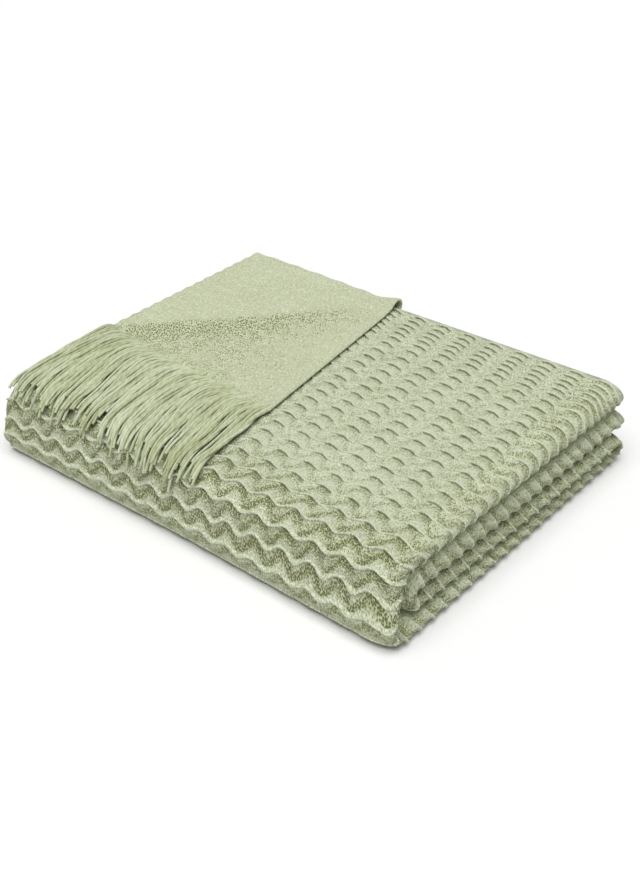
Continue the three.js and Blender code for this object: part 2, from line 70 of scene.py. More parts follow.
class Uneven(namedtuple("Uneven", "most step")):
    """Fixed values from -most to most that look random from one number to the next."""

    def at(self, number):
        bend = UNEVEN_BEND * math.sin(number * UNEVEN_TURN * self.step)
        return self.most * math.sin(number * self.step + bend)


# Driving sizes of the fold, in metres. While it is drawn, X runs from the left end to the rolls, Y
# from the front to the back and Z up from the surface.
PACK_CENTRE = Vector((0.17537, 0.13166, 0.0))  # middle of the pack's box, as drawn
PACK_DEPTH = 0.268
CLOTH = 0.002
HALF = CLOTH / 2
RUN_GAP = 0.0008
SLIGHT = 0.0001
LOWER_RADIUS = 0.0145
UPPER_RADIUS = 0.022
FRONT_LEAN = {"left": 0.004, "middle": 0.0045, "roll": 0.009}  # of the front's foot, forwards
FRONT_SHARE = {"lower": 0.25, "upper": 0.75}  # of the change from the lower run to the upper
FRONT_ROOM = 0.0142  # for the layers of the front, before the inner bend
LEFT_FOLD_X = 0.003
MIDDLE_X = 0.174
ROLL_X = 0.326
INNER_ROLL_REACH = 0.004
ROLL_ARC = 0.012  # cloth taken up by each radian of a roll

# Each run's thickness at the left, in the middle and at the rolls, and where its rolls end in X
Run = namedtuple("Run", "left middle roll_front roll_back reach_front reach_back")
LOWER_OUTER = Run(0.0118, 0.0126, 0.0100, 0.0100, 0.3475, 0.3485)
LOWER_INNER = Run(0.0118, 0.0126, 0.0104, 0.0102, 0.342, 0.350)
UPPER_INNER = Run(0.0118, 0.0128, 0.0190, 0.0150, 0.341, 0.346)
UPPER_OUTER = Run(0.0118, 0.0130, 0.0130, 0.0185, 0.341, 0.343)
STACK = [LOWER_OUTER, LOWER_INNER, UPPER_INNER, UPPER_OUTER]

# Each layer's depth in its run, as a share of the room there: at the left and at the rolls
Layer = namedtuple("Layer", "left right")
FIRST = Layer(0, 0)
PART = Layer(0.25, 0.25)
FOURTH = Layer(0.5, 1 / 3)
THIRD = Layer(0.75, 2 / 3)
SECOND = Layer(1, 1)

# Wavy ribs. Their section goes from the front to the back and overhangs a little in front. The
# cell between two ribs is pleated: it falls from both to a low line that zigzags between them.
# height is a share of the rib height, and lag what the pleats follow the wave by, in radians of it.
# shoulder is a rib's foot at the top of a pleat, as a share of the rib, low the low line's nearest
# place to the rib in front of it, level its rise, open how far the stitches part along it, with the
# painted shade that this brings, and least how far they part beyond it, with its painted shade.
# edge is 0 where a rib's front foot follows the pleats, and 1 where it dips only before a falling
# wave. point is 0 for round waves, and towards 1 for pointed ones. width is a share of the
# section's: round the back bend the path is half as long as the cloth's face.
RibSizes = namedtuple(
    "RibSizes", "pitch swing height lag shoulder low level open least edge point width"
)
FRONT_RIBS = RibSizes(
    pitch=0.0143, swing=0.0021, height=1.0, lag=0.0, shoulder=0.42, low=0.05,
    level=0.0, open=1.0, least=0.55, edge=0.0, point=0.6, width=1.0,
)
BACK_RIBS = RibSizes(
    pitch=0.0119, swing=0.0017, height=0.65, lag=0.2, shoulder=0.78, low=0.3,
    level=0.45, open=0.4, least=0.15, edge=1.0, point=0.3, width=1.0,
)
ROLL_RIBS = FRONT_RIBS._replace(
    pitch=0.0130, swing=0.0012, height=0.62, shoulder=0.35, open=0.75, least=0.5,
)
BEND_RIBS = ROLL_RIBS._replace(swing=0.0009, width=0.5)
BEND_RIB_PLACES = (0.2, 0.48, 0.76)  # shares of the way round the back bend
BEND_ROOM = 0.003  # between the bend and the nearest ribs of the rolls before and after it
NEAR_ROLL = (0.300, 0.334)  # run across in which the top's knit opens, with its painted shade, as it does on the rolls
RIM_OPEN = 0.65  # and how far it opens there, which sets its painted shade
TOP_DIP = 0.85  # share of the dip before a rib that is left on the top
TOP_CHANGE = (0.12, 0.36)  # share of the way to the back in which the front's knit becomes the top's
PITCH_CHANGE = (0.15, 0.6)  # and in which the ribs come closer
EDGE_PITCH = 0.0070
EDGE_CHANGE = (0.78, 0.90)  # share in which they come closer again, to the pitch at the back edge
LOW_RIB_HEIGHT = 0.15  # share left of a rib where the front turns under
LOW_RIB_RUN = (0.012, 0.062)  # run up the front in which ribs get their height
LOW_SWING_RUN = (0.015, 0.036)  # and in which they get their swing
LOW_RIB_STEP = 0.7  # share of the pitch between the lowest two ribs
SectionPoint = namedtuple("SectionPoint", "ahead rise slot")
# the last number of a section point is its share of the painted shadow in the slot before the rib
RIB_SECTION = [
    SectionPoint(-0.0012, 0.00, 0.5),
    SectionPoint(-0.0009, 0.25, 1.0),
    SectionPoint(-0.0010, 0.62, 0.6),
    SectionPoint(-0.0007, 0.90, 0.0),
    SectionPoint(-0.0001, 1.00, 0.0),
    SectionPoint(0.0003, 0.90, 0.0),
    SectionPoint(0.0006, 0.60, 0.0),
    SectionPoint(0.0009, 0.25, 0.0),
    SectionPoint(0.0014, 0.00, 0.0),
]
FRONT_FOOT = RIB_SECTION[0].ahead
BACK_FOOT = RIB_SECTION[-1].ahead
SLOT_SHADE_WAVE = (-1, -0.1)  # the painted shadow in the slot before a rib closes towards the foot of its wave
LOW_LINE_TOP = 0.95  # the low line's nearest place to the rib behind it
BEFORE_LOW = [0.35, 0.7, 1.0]  # rows of a cell, as shares of the way to its low line
BEYOND_LOW = [0.35, 0.7, 0.9]  # and from there to the rib behind
PLEAT_SWELL = 0.16  # how far the sides of a pleat bulge, as a share of their rise
PLAIN_SHADE_RISE = 0.3  # painted shade level of smooth cloth, between the pits at 0 and the ribs at 1
OPEN_REACH = (0.0004, 0.0080)  # distance from the low line at which the stitches close and their painted shade ends
OPEN_EDGE = (0.0028, 0.0090)  # and distance from a falling rib
WAVE_LENGTH = 0.0226
WAVE_PHASE = 0.17  # of a rib at the foot of the front, in radians
WAVE_DRIFT = 18.8  # and how far it moves on for each metre behind that
PLEAT_SKEW = 0.3  # pleats rise slowly to the rib behind and fall steeply from it
FALL_REACH = 0.0014  # half the length over which a wave's fall is read
FALL_RANGE = (-0.2, 0.4)  # drops over that length that count as no fall and as a full one
TOP_LEAD = 0.0036  # how far before the fall the dip begins on the top
TOP_FALL = 0.15  # and how much less the wave has to drop there
RIB_PHASE = Uneven(0.2, 0.9)
RIB_SHIFT = Uneven(0.04, 1.3)  # in shares of the pitch
RIB_SWING = Uneven(0.15, 2.1)  # in shares of the swing
ROLL_PHASE = Uneven(0.3, 1.1)
FIRST_FACE_RIB = 1.1  # lowest rib of the front, in lengths of the lower corner
FIRST_RIB = 0.002  # no rib lies nearer to the start of the path
RIB_START = 0.25  # share of the lower corner where the ribbed face starts
RIB_RISE = (math.radians(15), math.radians(60))  # angles round a roll in which ribs come out
RIB_FADE = (math.radians(115), math.radians(155))  # and in which they go, towards the next layer
ROLL_RIB_HEIGHT = 0.7  # share of a rib that stands on the roll's edge
OPEN_GAIN = 2  # stitches part, with their painted shade, in full where at least half of a rib stands
COVERED_X = (0.008, 0.127)  # what the laid-over end hides of the top is left plain
COVERED_Y = 0.118
COVERED_STEP = 0.025

# The end laid over the top
PART_LAYER_X = 0.147
FLAP_SELVEDGE_X = 0.171
FLAP_LEFT_X = 0.001
FLAP_ROOT_LEFT = 0.1057
FLAP_ROOT_RIGHT = 0.0877
FLAP_CLEAR = {"front": 0.0025, "back": 0.0016}
FLAP_RIDGE = 0.003
FLAP_RIDGE_SLOPE = (-0.022, 0.006)
FLAP_CORNER = 0.0046
FLAP_CORNER_SPREAD = 0.010
FLAP_ROUND = 0.0008
FLAP_TRACE = {"pitch": 0.0115, "swing": 0.0016, "height": 0.0005}  # faint back of the ribs
FLAP_BAND = (0.018, 0.028)  # plain band along the selvedge
FLAP_BAND_OPEN = 0.35  # how open its stitches are, and so how much painted shade they get
FLAP_OPEN = (-0.010, 0.006)  # distance before the crease at which stitches open, with painted shade
FLAP_OPEN_FAR = (0.010, 0.06, 0.6)  # distances at which fewer do, and the share that is left
FLAP_OPEN_RIGHT = (0.5, 0.95, 0.5)  # and the same for the way across to the selvedge
FLAP_BEND_STEP = 0.001  # cloth taken up by each step of its bend

BEND_STEPS = 12
FACE_STEPS = 5
FOLD_STEPS = 6
ROLL_STEPS = 14
FLAP_COLUMNS = 64
FLAP_ROWS = 72

RIBBED, SMOOTH = 0, 1  # the two sides of the cloth, as material places


def clamp(value, low=0.0, high=1.0):
    return min(max(value, low), high)


def lerp(a, b, share):
    return a + (b - a) * share


def blend(a, b, share):
    """Sizes between two tuples of them."""
    return type(a)(*(lerp(*pair, share) for pair in zip(a, b)))


def smoothstep(value, low, high):
    share = clamp((value - low) / (high - low))
    return share * share * (3 - 2 * share)


def faded(value, low, high, left):
    """1 up to low, and what is left from high on."""
    return lerp(1.0, left, smoothstep(value, low, high))


# Heights of the runs


def looseness(x):
    return clamp((x - MIDDLE_X) / (ROLL_X - MIDDLE_X))


def backness(y):
    return clamp(y / PACK_DEPTH)


def run_reach(run, y):
    return lerp(run.reach_front, run.reach_back, backness(y))


def thickness(run, x, y):
    left_half = lerp(run.left, run.middle, clamp(x / MIDDLE_X))
    return lerp(left_half, lerp(run.roll_front, run.roll_back, backness(y)), looseness(x))


def mean_thickness(a, b, x, y):
    return (thickness(a, x, y) + thickness(b, x, y)) / 2


def front_lean(x):
    left_half = lerp(FRONT_LEAN["left"], FRONT_LEAN["middle"], clamp(x / MIDDLE_X))
    return lerp(left_half, FRONT_LEAN["roll"], looseness(x))


def floor_of(run, x, y):
    below = STACK[:STACK.index(run)]
    return sum(thickness(each, x, y) + RUN_GAP for each in below)


def ceiling_of(run, x, y):
    return floor_of(run, x, y) + thickness(run, x, y)


def pack_top(x, y):
    return ceiling_of(UPPER_OUTER, x, y)


def front_top(x):
    return pack_top(x, UPPER_RADIUS)


def inner_bend_y(x):
    return FRONT_ROOM + RUN_GAP / 2 + mean_thickness(LOWER_INNER, UPPER_INNER, x, 0)


def back_bend_y(x):
    turn = mean_thickness(LOWER_OUTER, LOWER_INNER, x, PACK_DEPTH)
    return PACK_DEPTH - RUN_GAP / 2 - turn


# The strip's path. For a share s of its length, each piece gives the strip's thickness, the reach
# of its roll, and the Y and Z of a point at some X and depth under the outer face.


class PathPiece:
    """One run, bend or face of the strip's path."""

    def __init__(self, length, steps, thickness_at, reach, place):
        self.length = length
        self.steps = steps
        self.thickness = thickness_at
        self.reach = reach
        self.place = place
        self.start = 0.0


def straight_run(run, length, y_from, y_to, height):
    def y_at(s, x):
        return lerp(y_from(x), y_to(x), s)

    def place(s, x, depth):
        y = y_at(s, x)
        return y, height(x, y, depth)

    return PathPiece(
        length,
        1,
        lambda s, x: thickness(run, x, y_at(s, x)),
        lambda s: run_reach(run, y_at(s, ROLL_X)),
        place,
    )


def half_turn(upper, lower, y_centre, side, outer_face_out):
    """A half turn from an upper run down to a lower one."""
    y_mean = y_centre(ROLL_X)

    def through(s, x):
        return lerp(thickness(upper, x, y_mean), thickness(lower, x, y_mean), s)

    def place(s, x, depth):
        radius = RUN_GAP / 2 + (through(s, x) - depth if outer_face_out else depth)
        angle = math.pi / 2 - math.pi * s
        z_centre = floor_of(upper, x, y_centre(x)) - RUN_GAP / 2
        return y_centre(x) + side * radius * math.cos(angle), z_centre + radius * math.sin(angle)

    return PathPiece(
        math.pi / 2 * mean_thickness(upper, lower, 0, y_mean),
        BEND_STEPS,
        through,
        lambda s: lerp(run_reach(upper, y_mean), run_reach(lower, y_mean), s),
        place,
    )


def front_piece(length, steps, share_from, share_to, place):
    """A corner or the upright face of the front bend, between the lower and the upper outer run."""

    def between(low, high, s):
        return lerp(low, high, lerp(share_from, share_to, s))

    return PathPiece(
        length,
        steps,
        lambda s, x: between(thickness(LOWER_OUTER, x, 0), thickness(UPPER_OUTER, x, 0), s),
        lambda s: between(LOWER_OUTER.reach_front, UPPER_OUTER.reach_front, s),
        place,
    )


def place_lower_corner(s, x, depth):
    radius = LOWER_RADIUS - depth
    angle = math.pi / 2 * s
    y_centre = LOWER_RADIUS - front_lean(x)
    return y_centre - radius * math.sin(angle), LOWER_RADIUS - radius * math.cos(angle)


def place_front_face(s, x, depth):
    z = lerp(LOWER_RADIUS, front_top(x) - UPPER_RADIUS, s)
    return depth - front_lean(x) * (1 - s), z


def place_upper_corner(s, x, depth):
    radius = UPPER_RADIUS - depth
    angle = math.pi / 2 * s
    z_centre = front_top(x) - UPPER_RADIUS
    return UPPER_RADIUS - radius * math.cos(angle), z_centre + radius * math.sin(angle)


upper_inner_run = straight_run(
    UPPER_INNER, PACK_DEPTH - inner_bend_y(0), lambda x: PACK_DEPTH, inner_bend_y,
    lambda x, y, depth: floor_of(UPPER_INNER, x, y) + depth,
)
inner_bend = half_turn(UPPER_INNER, LOWER_INNER, inner_bend_y, -1, False)
lower_inner_run = straight_run(
    LOWER_INNER, back_bend_y(0) - inner_bend_y(0), inner_bend_y, back_bend_y,
    lambda x, y, depth: ceiling_of(LOWER_INNER, x, y) - depth,
)
back_bend = half_turn(LOWER_INNER, LOWER_OUTER, back_bend_y, 1, True)
lower_outer_run = straight_run(
    LOWER_OUTER, back_bend_y(0) - LOWER_RADIUS, back_bend_y,
    lambda x: LOWER_RADIUS - front_lean(x), lambda x, y, depth: depth,
)
lower_corner = front_piece(
    math.pi / 2 * LOWER_RADIUS, BEND_STEPS // 2, 0, FRONT_SHARE["lower"], place_lower_corner,
)
front_face = front_piece(
    front_top(0) - LOWER_RADIUS - UPPER_RADIUS, FACE_STEPS,
    FRONT_SHARE["lower"], FRONT_SHARE["upper"], place_front_face,
)
upper_corner = front_piece(
    math.pi / 2 * UPPER_RADIUS, BEND_STEPS // 2, FRONT_SHARE["upper"], 1, place_upper_corner,
)
upper_outer_run = straight_run(
    UPPER_OUTER, PACK_DEPTH - UPPER_RADIUS, lambda x: UPPER_RADIUS, lambda x: PACK_DEPTH,
    lambda x, y, depth: pack_top(x, y) - depth,
)
PATH = [
    upper_inner_run, inner_bend, lower_inner_run, back_bend, lower_outer_run,
    lower_corner, front_face, upper_corner, upper_outer_run,
]
PATH_LENGTH = 0.0
for path_piece in PATH:
    path_piece.start = PATH_LENGTH
    PATH_LENGTH += path_piece.length
RIB_ZONE = lower_corner.start + RIB_START * lower_corner.length


def locate(v):
    found = PATH[0]
    for piece in PATH:
        if v >= piece.start:
            found = piece
    return found, clamp((v - found.start) / found.length)


def place(v, x, depth):
    piece, s = locate(v)
    return (x, *piece.place(s, x, depth))


def in_frame(point):
    """A drawn point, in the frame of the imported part."""
    middle = (CAD_LOW + CAD_HIGH) / 2
    return Vector(point) - PACK_CENTRE + Vector((middle.x, middle.y, CAD_LOW.z))


# Rows along the path. at orders a row on its line. For a length u from the left end, spot gives
# the row's station, its height over the cloth's face, its rise as a share of a rib, which also sets
# painted shade, how open the stitches are there, which sets the painted shade of open knit, and how
# deep in the slot before a rib it lies, which sets the painted shadow there.

Spot = namedtuple("Spot", "v height rise openness slot")
Rib = namedtuple("Rib", "v phase sizes")


def wave(u, phase, point, skew=0.0):
    """The ribs' wave at the length u from the left end: 1 where it swings to the back."""
    angle = 2 * math.pi * u / WAVE_LENGTH + phase
    turned = -math.cos(angle - skew * (1 - math.cos(angle)))
    return math.asin(point * turned) / math.asin(point)


def rib_wave(rib, u):
    return wave(u, rib.phase, rib.sizes.point)


def rib_station(rib, u):
    return rib.v + rib.sizes.swing * rib_wave(rib, u)


def pleat_top(rib, u):
    """1 under a wave's top, where the pleat before the rib is deepest, and 0 at its foot."""
    return (1 + wave(u, rib.phase - rib.sizes.lag, FRONT_RIBS.point, PLEAT_SKEW)) / 2


def fall(rib, u):
    """1 where the rib's wave falls steepest, and 0 where it rises."""
    middle = u + TOP_LEAD * rib.sizes.edge
    drop = rib_wave(rib, middle - FALL_REACH) - rib_wave(rib, middle + FALL_REACH)
    return smoothstep(drop, *(limit - TOP_FALL * rib.sizes.edge for limit in FALL_RANGE))


def near_roll(u):
    return smoothstep(u, *NEAR_ROLL)


def front_foot(rib, u):
    """Rise of the cloth just before a rib."""
    edge = rib.sizes.edge * (1 - near_roll(u))
    return rib.sizes.shoulder * (1 - lerp(pleat_top(rib, u), TOP_DIP * fall(rib, u), edge))


def cell_level(rib, u):
    """Rise of the low line behind a rib."""
    return rib.sizes.level * (1 - near_roll(u))


def back_foot(rib, u):
    """Rise of the cloth just behind a rib."""
    return lerp(cell_level(rib, u), rib.sizes.shoulder, pleat_top(rib, u))


def cell_open_shade(ribs, u, from_low, to_back):
    """Painted shade where stitches part: along the low line where it goes to the rib behind, and before
    a falling rib.
    """
    front, back = ribs
    least = lerp(front.sizes.least, ROLL_RIBS.least, near_roll(u))
    far = least * least
    along_line = max(1 - smoothstep(abs(from_low), *OPEN_REACH), least if from_low > 0 else far)
    before_rib = max(1 - smoothstep(to_back, *OPEN_EDGE), far)
    open_shade_share = lerp(front.sizes.open, max(front.sizes.open, RIM_OPEN), near_roll(u))
    return open_shade_share * lerp(along_line, before_rib, fall(back, u))


def knit_height(rib, knit, rise):
    return rib.sizes.height * lerp(-knit.pit_depth, knit.rib_height, rise)


class PlainRow(namedtuple("PlainRow", "at")):
    """A row on the smooth cloth."""

    def spot(self, u, knit):
        return Spot(self.at, 0.0, PLAIN_SHADE_RISE, 0.0, 0.0)


class RibRow(namedtuple("RibRow", "at rib point")):
    """A row along a rib. The rib's front foot is low under a wave's top, its back foot elsewhere."""

    def spot(self, u, knit):
        foot = front_foot(self.rib, u) if self.point.ahead < 0 else back_foot(self.rib, u)
        rise = lerp(foot, 1, self.point.rise)
        v = rib_station(self.rib, u) + self.rib.sizes.width * self.point.ahead
        falling = fall(self.rib, u)
        # painted shade of open stitches in the slot rows, where the wave falls
        openness = falling * self.rib.sizes.open * (self.point.slot > 0)
        # painted shadow in the slot before the rib, where its wave falls
        slot = falling * smoothstep(rib_wave(self.rib, u), *SLOT_SHADE_WAVE) * self.point.slot
        return Spot(v, knit_height(self.rib, knit, rise), rise, openness, slot)


class CellRow(namedtuple("CellRow", "at ribs share beyond")):
    """A row of the pleated cell between two ribs, before or beyond its low line."""

    def spot(self, u, knit):
        front, back = self.ribs
        low = lerp(front.sizes.low, LOW_LINE_TOP, pleat_top(front, u))
        place_in_cell = lerp(low, 1, self.share) if self.beyond else low * self.share
        v_front = rib_station(front, u) + front.sizes.width * BACK_FOOT
        v_back = rib_station(back, u) + back.sizes.width * FRONT_FOOT
        climb = self.share if self.beyond else 1 - self.share
        foot = front_foot(back, u) if self.beyond else back_foot(front, u)
        rise = lerp(cell_level(front, u), foot, climb + PLEAT_SWELL * math.sin(math.pi * climb))
        v = lerp(v_front, v_back, place_in_cell)
        openness = cell_open_shade(self.ribs, u, v - lerp(v_front, v_back, low), v_back - v)
        return Spot(v, knit_height(front, knit, rise), rise, openness, 0.0)


CELL_STEPS = [(share, False) for share in BEFORE_LOW] + [(share, True) for share in BEYOND_LOW]


def plain_stations(piece):
    return [PlainRow(piece.start + piece.length * i / piece.steps) for i in range(piece.steps)]


def rib_rows(ribs):
    """Rows of the ribs' sections and of the cells between them."""
    rows = []
    for rib, following in zip(ribs, ribs[1:] + [None]):
        for i, point in enumerate(RIB_SECTION):
            ahead = lerp(FRONT_FOOT, BACK_FOOT, i / (len(RIB_SECTION) - 1))
            rows.append(RibRow(rib.v + rib.sizes.width * ahead, rib, point))
        if following:
            low = rib.v + rib.sizes.width * BACK_FOOT
            high = following.v + following.sizes.width * FRONT_FOOT
            for i, (share, beyond) in enumerate(CELL_STEPS):
                at = lerp(low, high, (i + 1) / (len(CELL_STEPS) + 1))
                rows.append(CellRow(at, (rib, following), share, beyond))
    return rows


def face_ribs():
    """Ribs of the front and the top, closer, straighter and flatter to the back."""
    ribs = []
    v = lower_corner.start + FIRST_FACE_RIB * lower_corner.length
    while v < PATH_LENGTH + FRONT_FOOT:
        number = len(ribs)
        up_front = v - lower_corner.start
        share = (v - RIB_ZONE) / (PATH_LENGTH - RIB_ZONE)
        sizes = blend(FRONT_RIBS, BACK_RIBS, smoothstep(share, *TOP_CHANGE))
        pitch = lerp(FRONT_RIBS.pitch, BACK_RIBS.pitch, smoothstep(share, *PITCH_CHANGE))
        pitch = lerp(pitch, EDGE_PITCH, smoothstep(share, *EDGE_CHANGE))
        phase = WAVE_PHASE + WAVE_DRIFT * up_front + RIB_PHASE.at(number)
        risen, swung = (
            lerp(LOW_RIB_HEIGHT, 1, smoothstep(up_front, *run)) for run in (LOW_RIB_RUN, LOW_SWING_RUN)
        )
        swing = sizes.swing * swung * (1 + RIB_SWING.at(number))
        sizes = sizes._replace(pitch=pitch, swing=swing, height=sizes.height * risen)
        ribs.append(Rib(v + pitch * RIB_SHIFT.at(number), phase, sizes))
        v += pitch * (1 if number else LOW_RIB_STEP)
    return ribs


def hidden_ribs(last_v):
    """Ribs of the back bend and of the runs that show only at their rolls, up to the front's first."""
    count = int((last_v - FIRST_RIB) / ROLL_RIBS.pitch)
    stations = [last_v - ROLL_RIBS.pitch * (count - i) for i in range(count)]
    ribs = [Rib(v, ROLL_PHASE.at(i), ROLL_RIBS) for i, v in enumerate(stations)]
    bend_end = back_bend.start + back_bend.length
    before = [rib for rib in ribs if rib.v < back_bend.start - BEND_ROOM]
    after = [rib for rib in ribs if rib.v > bend_end + BEND_ROOM]
    bend = [Rib(lerp(back_bend.start, bend_end, share), share, BEND_RIBS) for share in BEND_RIB_PLACES]
    return before + bend + after


COARSE_ROWS = [row for each in PATH for row in plain_stations(each)] + [PlainRow(PATH_LENGTH)]
BEFORE_RIBS = [row for row in COARSE_ROWS if row.at < RIB_ZONE - HALF]
BEND_ZONE = [
    back_bend.start + BEND_RIB_PLACES[end] * back_bend.length + BEND_RIBS.width * foot + room
    for end, foot, room in ((0, FRONT_FOOT, -SLIGHT), (-1, BACK_FOOT, SLIGHT))
]
FACE_RIBS = face_ribs()
ALL_RIB_ROWS = rib_rows(hidden_ribs(FACE_RIBS[0].v) + FACE_RIBS)
FACE_ROWS = [
    PlainRow(RIB_ZONE),
    *[row for row in ALL_RIB_ROWS if row.at > RIB_ZONE],
    PlainRow(PATH_LENGTH),
]
COVERED_V = upper_outer_run.start + COVERED_Y - UPPER_RADIUS
COVERED_COUNT = round((PATH_LENGTH - COVERED_V) / COVERED_STEP)
COVERED_ROWS = [row for row in FACE_ROWS if row.at < COVERED_V] + [
    PlainRow(lerp(COVERED_V, PATH_LENGTH, i / COVERED_COUNT)) for i in range(COVERED_COUNT + 1)
]
BEND_ROWS = [row for row in ALL_RIB_ROWS if BEND_ZONE[0] < row.at < BEND_ZONE[1]]
ROLL_ROWS = [PlainRow(0.0), *[row for row in ALL_RIB_ROWS if row.at <= RIB_ZONE], *FACE_ROWS]


# Rails of the strip's section. A rail is a line of the cloth's skin along the path: s is its place
# in the section and u its length from the left end. at(v) gives its X and depth, out is the way a
# rib stands there, and angle how far round a roll it is.

Rail = namedtuple("Rail", "s u out at angle")


def layer_depth(layer, x, v):
    piece, s = locate(v)
    share = lerp(layer.left, layer.right, looseness(x))
    return HALF + share * (piece.thickness(s, x) - CLOTH)


def flat_rail(s, layer, x, side):
    return Rail(s, x, (0, side), lambda v: (x, layer_depth(layer, x, v) + side * HALF), None)


def turn_rail(s, layers, x_start, direction, reach, offset, angle):
    def at(v):
        above, below = (layer_depth(layer, x_start, v) for layer in layers)
        rise = (below - above) / 2
        radius = rise + math.copysign(offset, rise * offset)
        x = x_start + direction * (reach(v) + offset) * math.sin(angle)
        return x, (above + below) / 2 - radius * math.cos(angle)

    out = (direction * math.sin(angle), -math.cos(angle))
    return Rail(s + angle / math.pi, x_start + ROLL_ARC * angle, out, at, angle)


def turn_rails(s, layers, x_start, direction, reach, offset, steps):
    angles = [math.pi * (i + 1) / steps for i in range(steps - 1)]
    return [turn_rail(s, layers, x_start, direction, reach, offset, angle) for angle in angles]


def flat_rails(s, layer, xs, side):
    return [flat_rail(s + i / (len(xs) - 1), layer, x, side) for i, x in enumerate(xs)]


def roll_reach(v):
    piece, s = locate(v)
    return piece.reach(s) - ROLL_X - HALF


def inner_roll_reach(v):
    return INNER_ROLL_REACH


def left_fold_reach(v):
    return LEFT_FOLD_X - CLOTH


SectionRails = namedtuple("SectionRails", "first roll rest part")


def section_rails(side):
    """Rails of one side of the cloth: -1 for the ribbed side and 1 for the smooth one."""
    right = [LEFT_FOLD_X, MIDDLE_X, ROLL_X]
    left = right[::-1]
    out = -side * HALF
    roll_steps = ROLL_STEPS if side < 0 else FOLD_STEPS
    rest = [
        *flat_rails(2, SECOND, left, -side),
        *turn_rails(3, (SECOND, THIRD), LEFT_FOLD_X, -1, left_fold_reach, out, FOLD_STEPS),
        *flat_rails(4, THIRD, right, side),
        *turn_rails(5, (THIRD, FOURTH), ROLL_X, 1, inner_roll_reach, -out, FOLD_STEPS),
        *flat_rails(6, FOURTH, left, -side),
        *turn_rails(7, (FOURTH, PART), LEFT_FOLD_X, -1, left_fold_reach, out, FOLD_STEPS),
    ]
    return SectionRails(
        flat_rails(0, FIRST, [0, MIDDLE_X, ROLL_X], side),
        turn_rails(1, (FIRST, SECOND), ROLL_X, 1, roll_reach, out, roll_steps),
        rest,
        flat_rails(8, PART, [LEFT_FOLD_X, PART_LAYER_X], side),
    )


Station = namedtuple("Station", "at id")


class Skin:
    """Points and triangles of the cloth, with its own lengths across and along as pattern."""

    def __init__(self):
        self.points = []
        self.pattern = []
        self.rise = []
        self.openness = []
        self.slot = []
        self.triangles = []
        self.sides = []

    def add(self, point, pattern, rise=PLAIN_SHADE_RISE, openness=0.0, slot=0.0):
        self.points.append(in_frame(point))
        self.pattern.append(pattern)
        self.rise.append(rise)
        self.openness.append(openness)
        self.slot.append(slot)
        return len(self.points) - 1

    def strip(self, left, right, side):
        """Joins two lines of stations by triangles; the left one is on the left, seen from outside."""
        i = j = 0
        while i < len(left) - 1 or j < len(right) - 1:
            next_left = left[i + 1].at if i < len(left) - 1 else math.inf
            next_right = right[j + 1].at if j < len(right) - 1 else math.inf
            if next_left < next_right:
                self.triangles.append((left[i].id, right[j].id, left[i + 1].id))
                i += 1
            else:
                self.triangles.append((left[i].id, right[j].id, right[j + 1].id))
                j += 1
            self.sides.append(side)

    def rounded_strip(self, left, middle, right, side):
        """Joins two lines over a middle one that starts after their first stations."""
        self.triangles.append((left[0].id, right[0].id, middle[0].id))
        self.sides.append(side)
        self.strips([left, middle, right], side)

    def strips(self, lines, side):
        for left, right in zip(lines, lines[1:]):
            self.strip(left, right, side)


def rib_weight(rail, v):
    """Ribs stand full where the face shows and fade where two rolls lie on each other."""
    shows = v >= RIB_ZONE or BEND_ZONE[0] < v < BEND_ZONE[1]
    if rail.angle is None:
        return 1.0 if shows else 0.0
    turned = smoothstep(rail.angle, *RIB_RISE)
    risen = lerp(1, ROLL_RIB_HEIGHT, turned) if shows else turned
    return risen * (1 - smoothstep(rail.angle, *RIB_FADE))


def face_length(v):
    """Length along the cloth's face, which is twice the path's round the back bend."""
    return v + clamp(v - back_bend.start, 0, back_bend.length)


def plain_line(skin, rail, rows):
    line = []
    for row in rows:
        point = place(row.at, *rail.at(row.at))
        line.append(Station(row.at, skin.add(point, (rail.u, face_length(row.at)))))
    return line


def plain_lines(skin, rails, rows):
    return [plain_line(skin, rail, rows) for rail in rails]


def ribbed_line(skin, rail, rows, knit):
    line = []
    for row in rows:
        spot = row.spot(rail.u, knit)
        x, depth = rail.at(spot.v)
        weight = rib_weight(rail, row.at)
        out = weight * spot.height
        point = place(spot.v, x + rail.out[0] * out, depth + rail.out[1] * out)
        # this rise sets only the painted shade: lower places darker, rib tops lighter
        rise = lerp(PLAIN_SHADE_RISE, spot.rise, weight)
        openness = min(1, OPEN_GAIN * weight) * spot.openness
        pattern = (rail.u, face_length(spot.v))
        line.append(Station(row.at, skin.add(point, pattern, rise, openness, weight * spot.slot)))
    return line


# The end laid over the top: c goes across it from the left edge to the selvedge, and t from the
# back edge to the fringe


def flap_root_y(c):
    return lerp(FLAP_ROOT_LEFT, FLAP_ROOT_RIGHT, c)


def flap_x(c, t):
    return lerp(lerp(LEFT_FOLD_X, FLAP_LEFT_X, t), lerp(PART_LAYER_X, FLAP_SELVEDGE_X, t), c)


def flap_crease(c):
    return lerp(FLAP_ROOT_LEFT, PACK_DEPTH, c)


def beside_band(x):
    """0 on the plain band along the selvedge, and 1 to the left of it."""
    return smoothstep(FLAP_SELVEDGE_X - x, *FLAP_BAND)


def flap_trace(x, y):
    """Faint wavy ribs of the other side, up to the plain band."""
    swung = y + FLAP_TRACE["swing"] * wave(x, 0.0, FRONT_RIBS.point)
    return FLAP_TRACE["height"] * math.cos(2 * math.pi * swung / FLAP_TRACE["pitch"]) * beside_band(x)


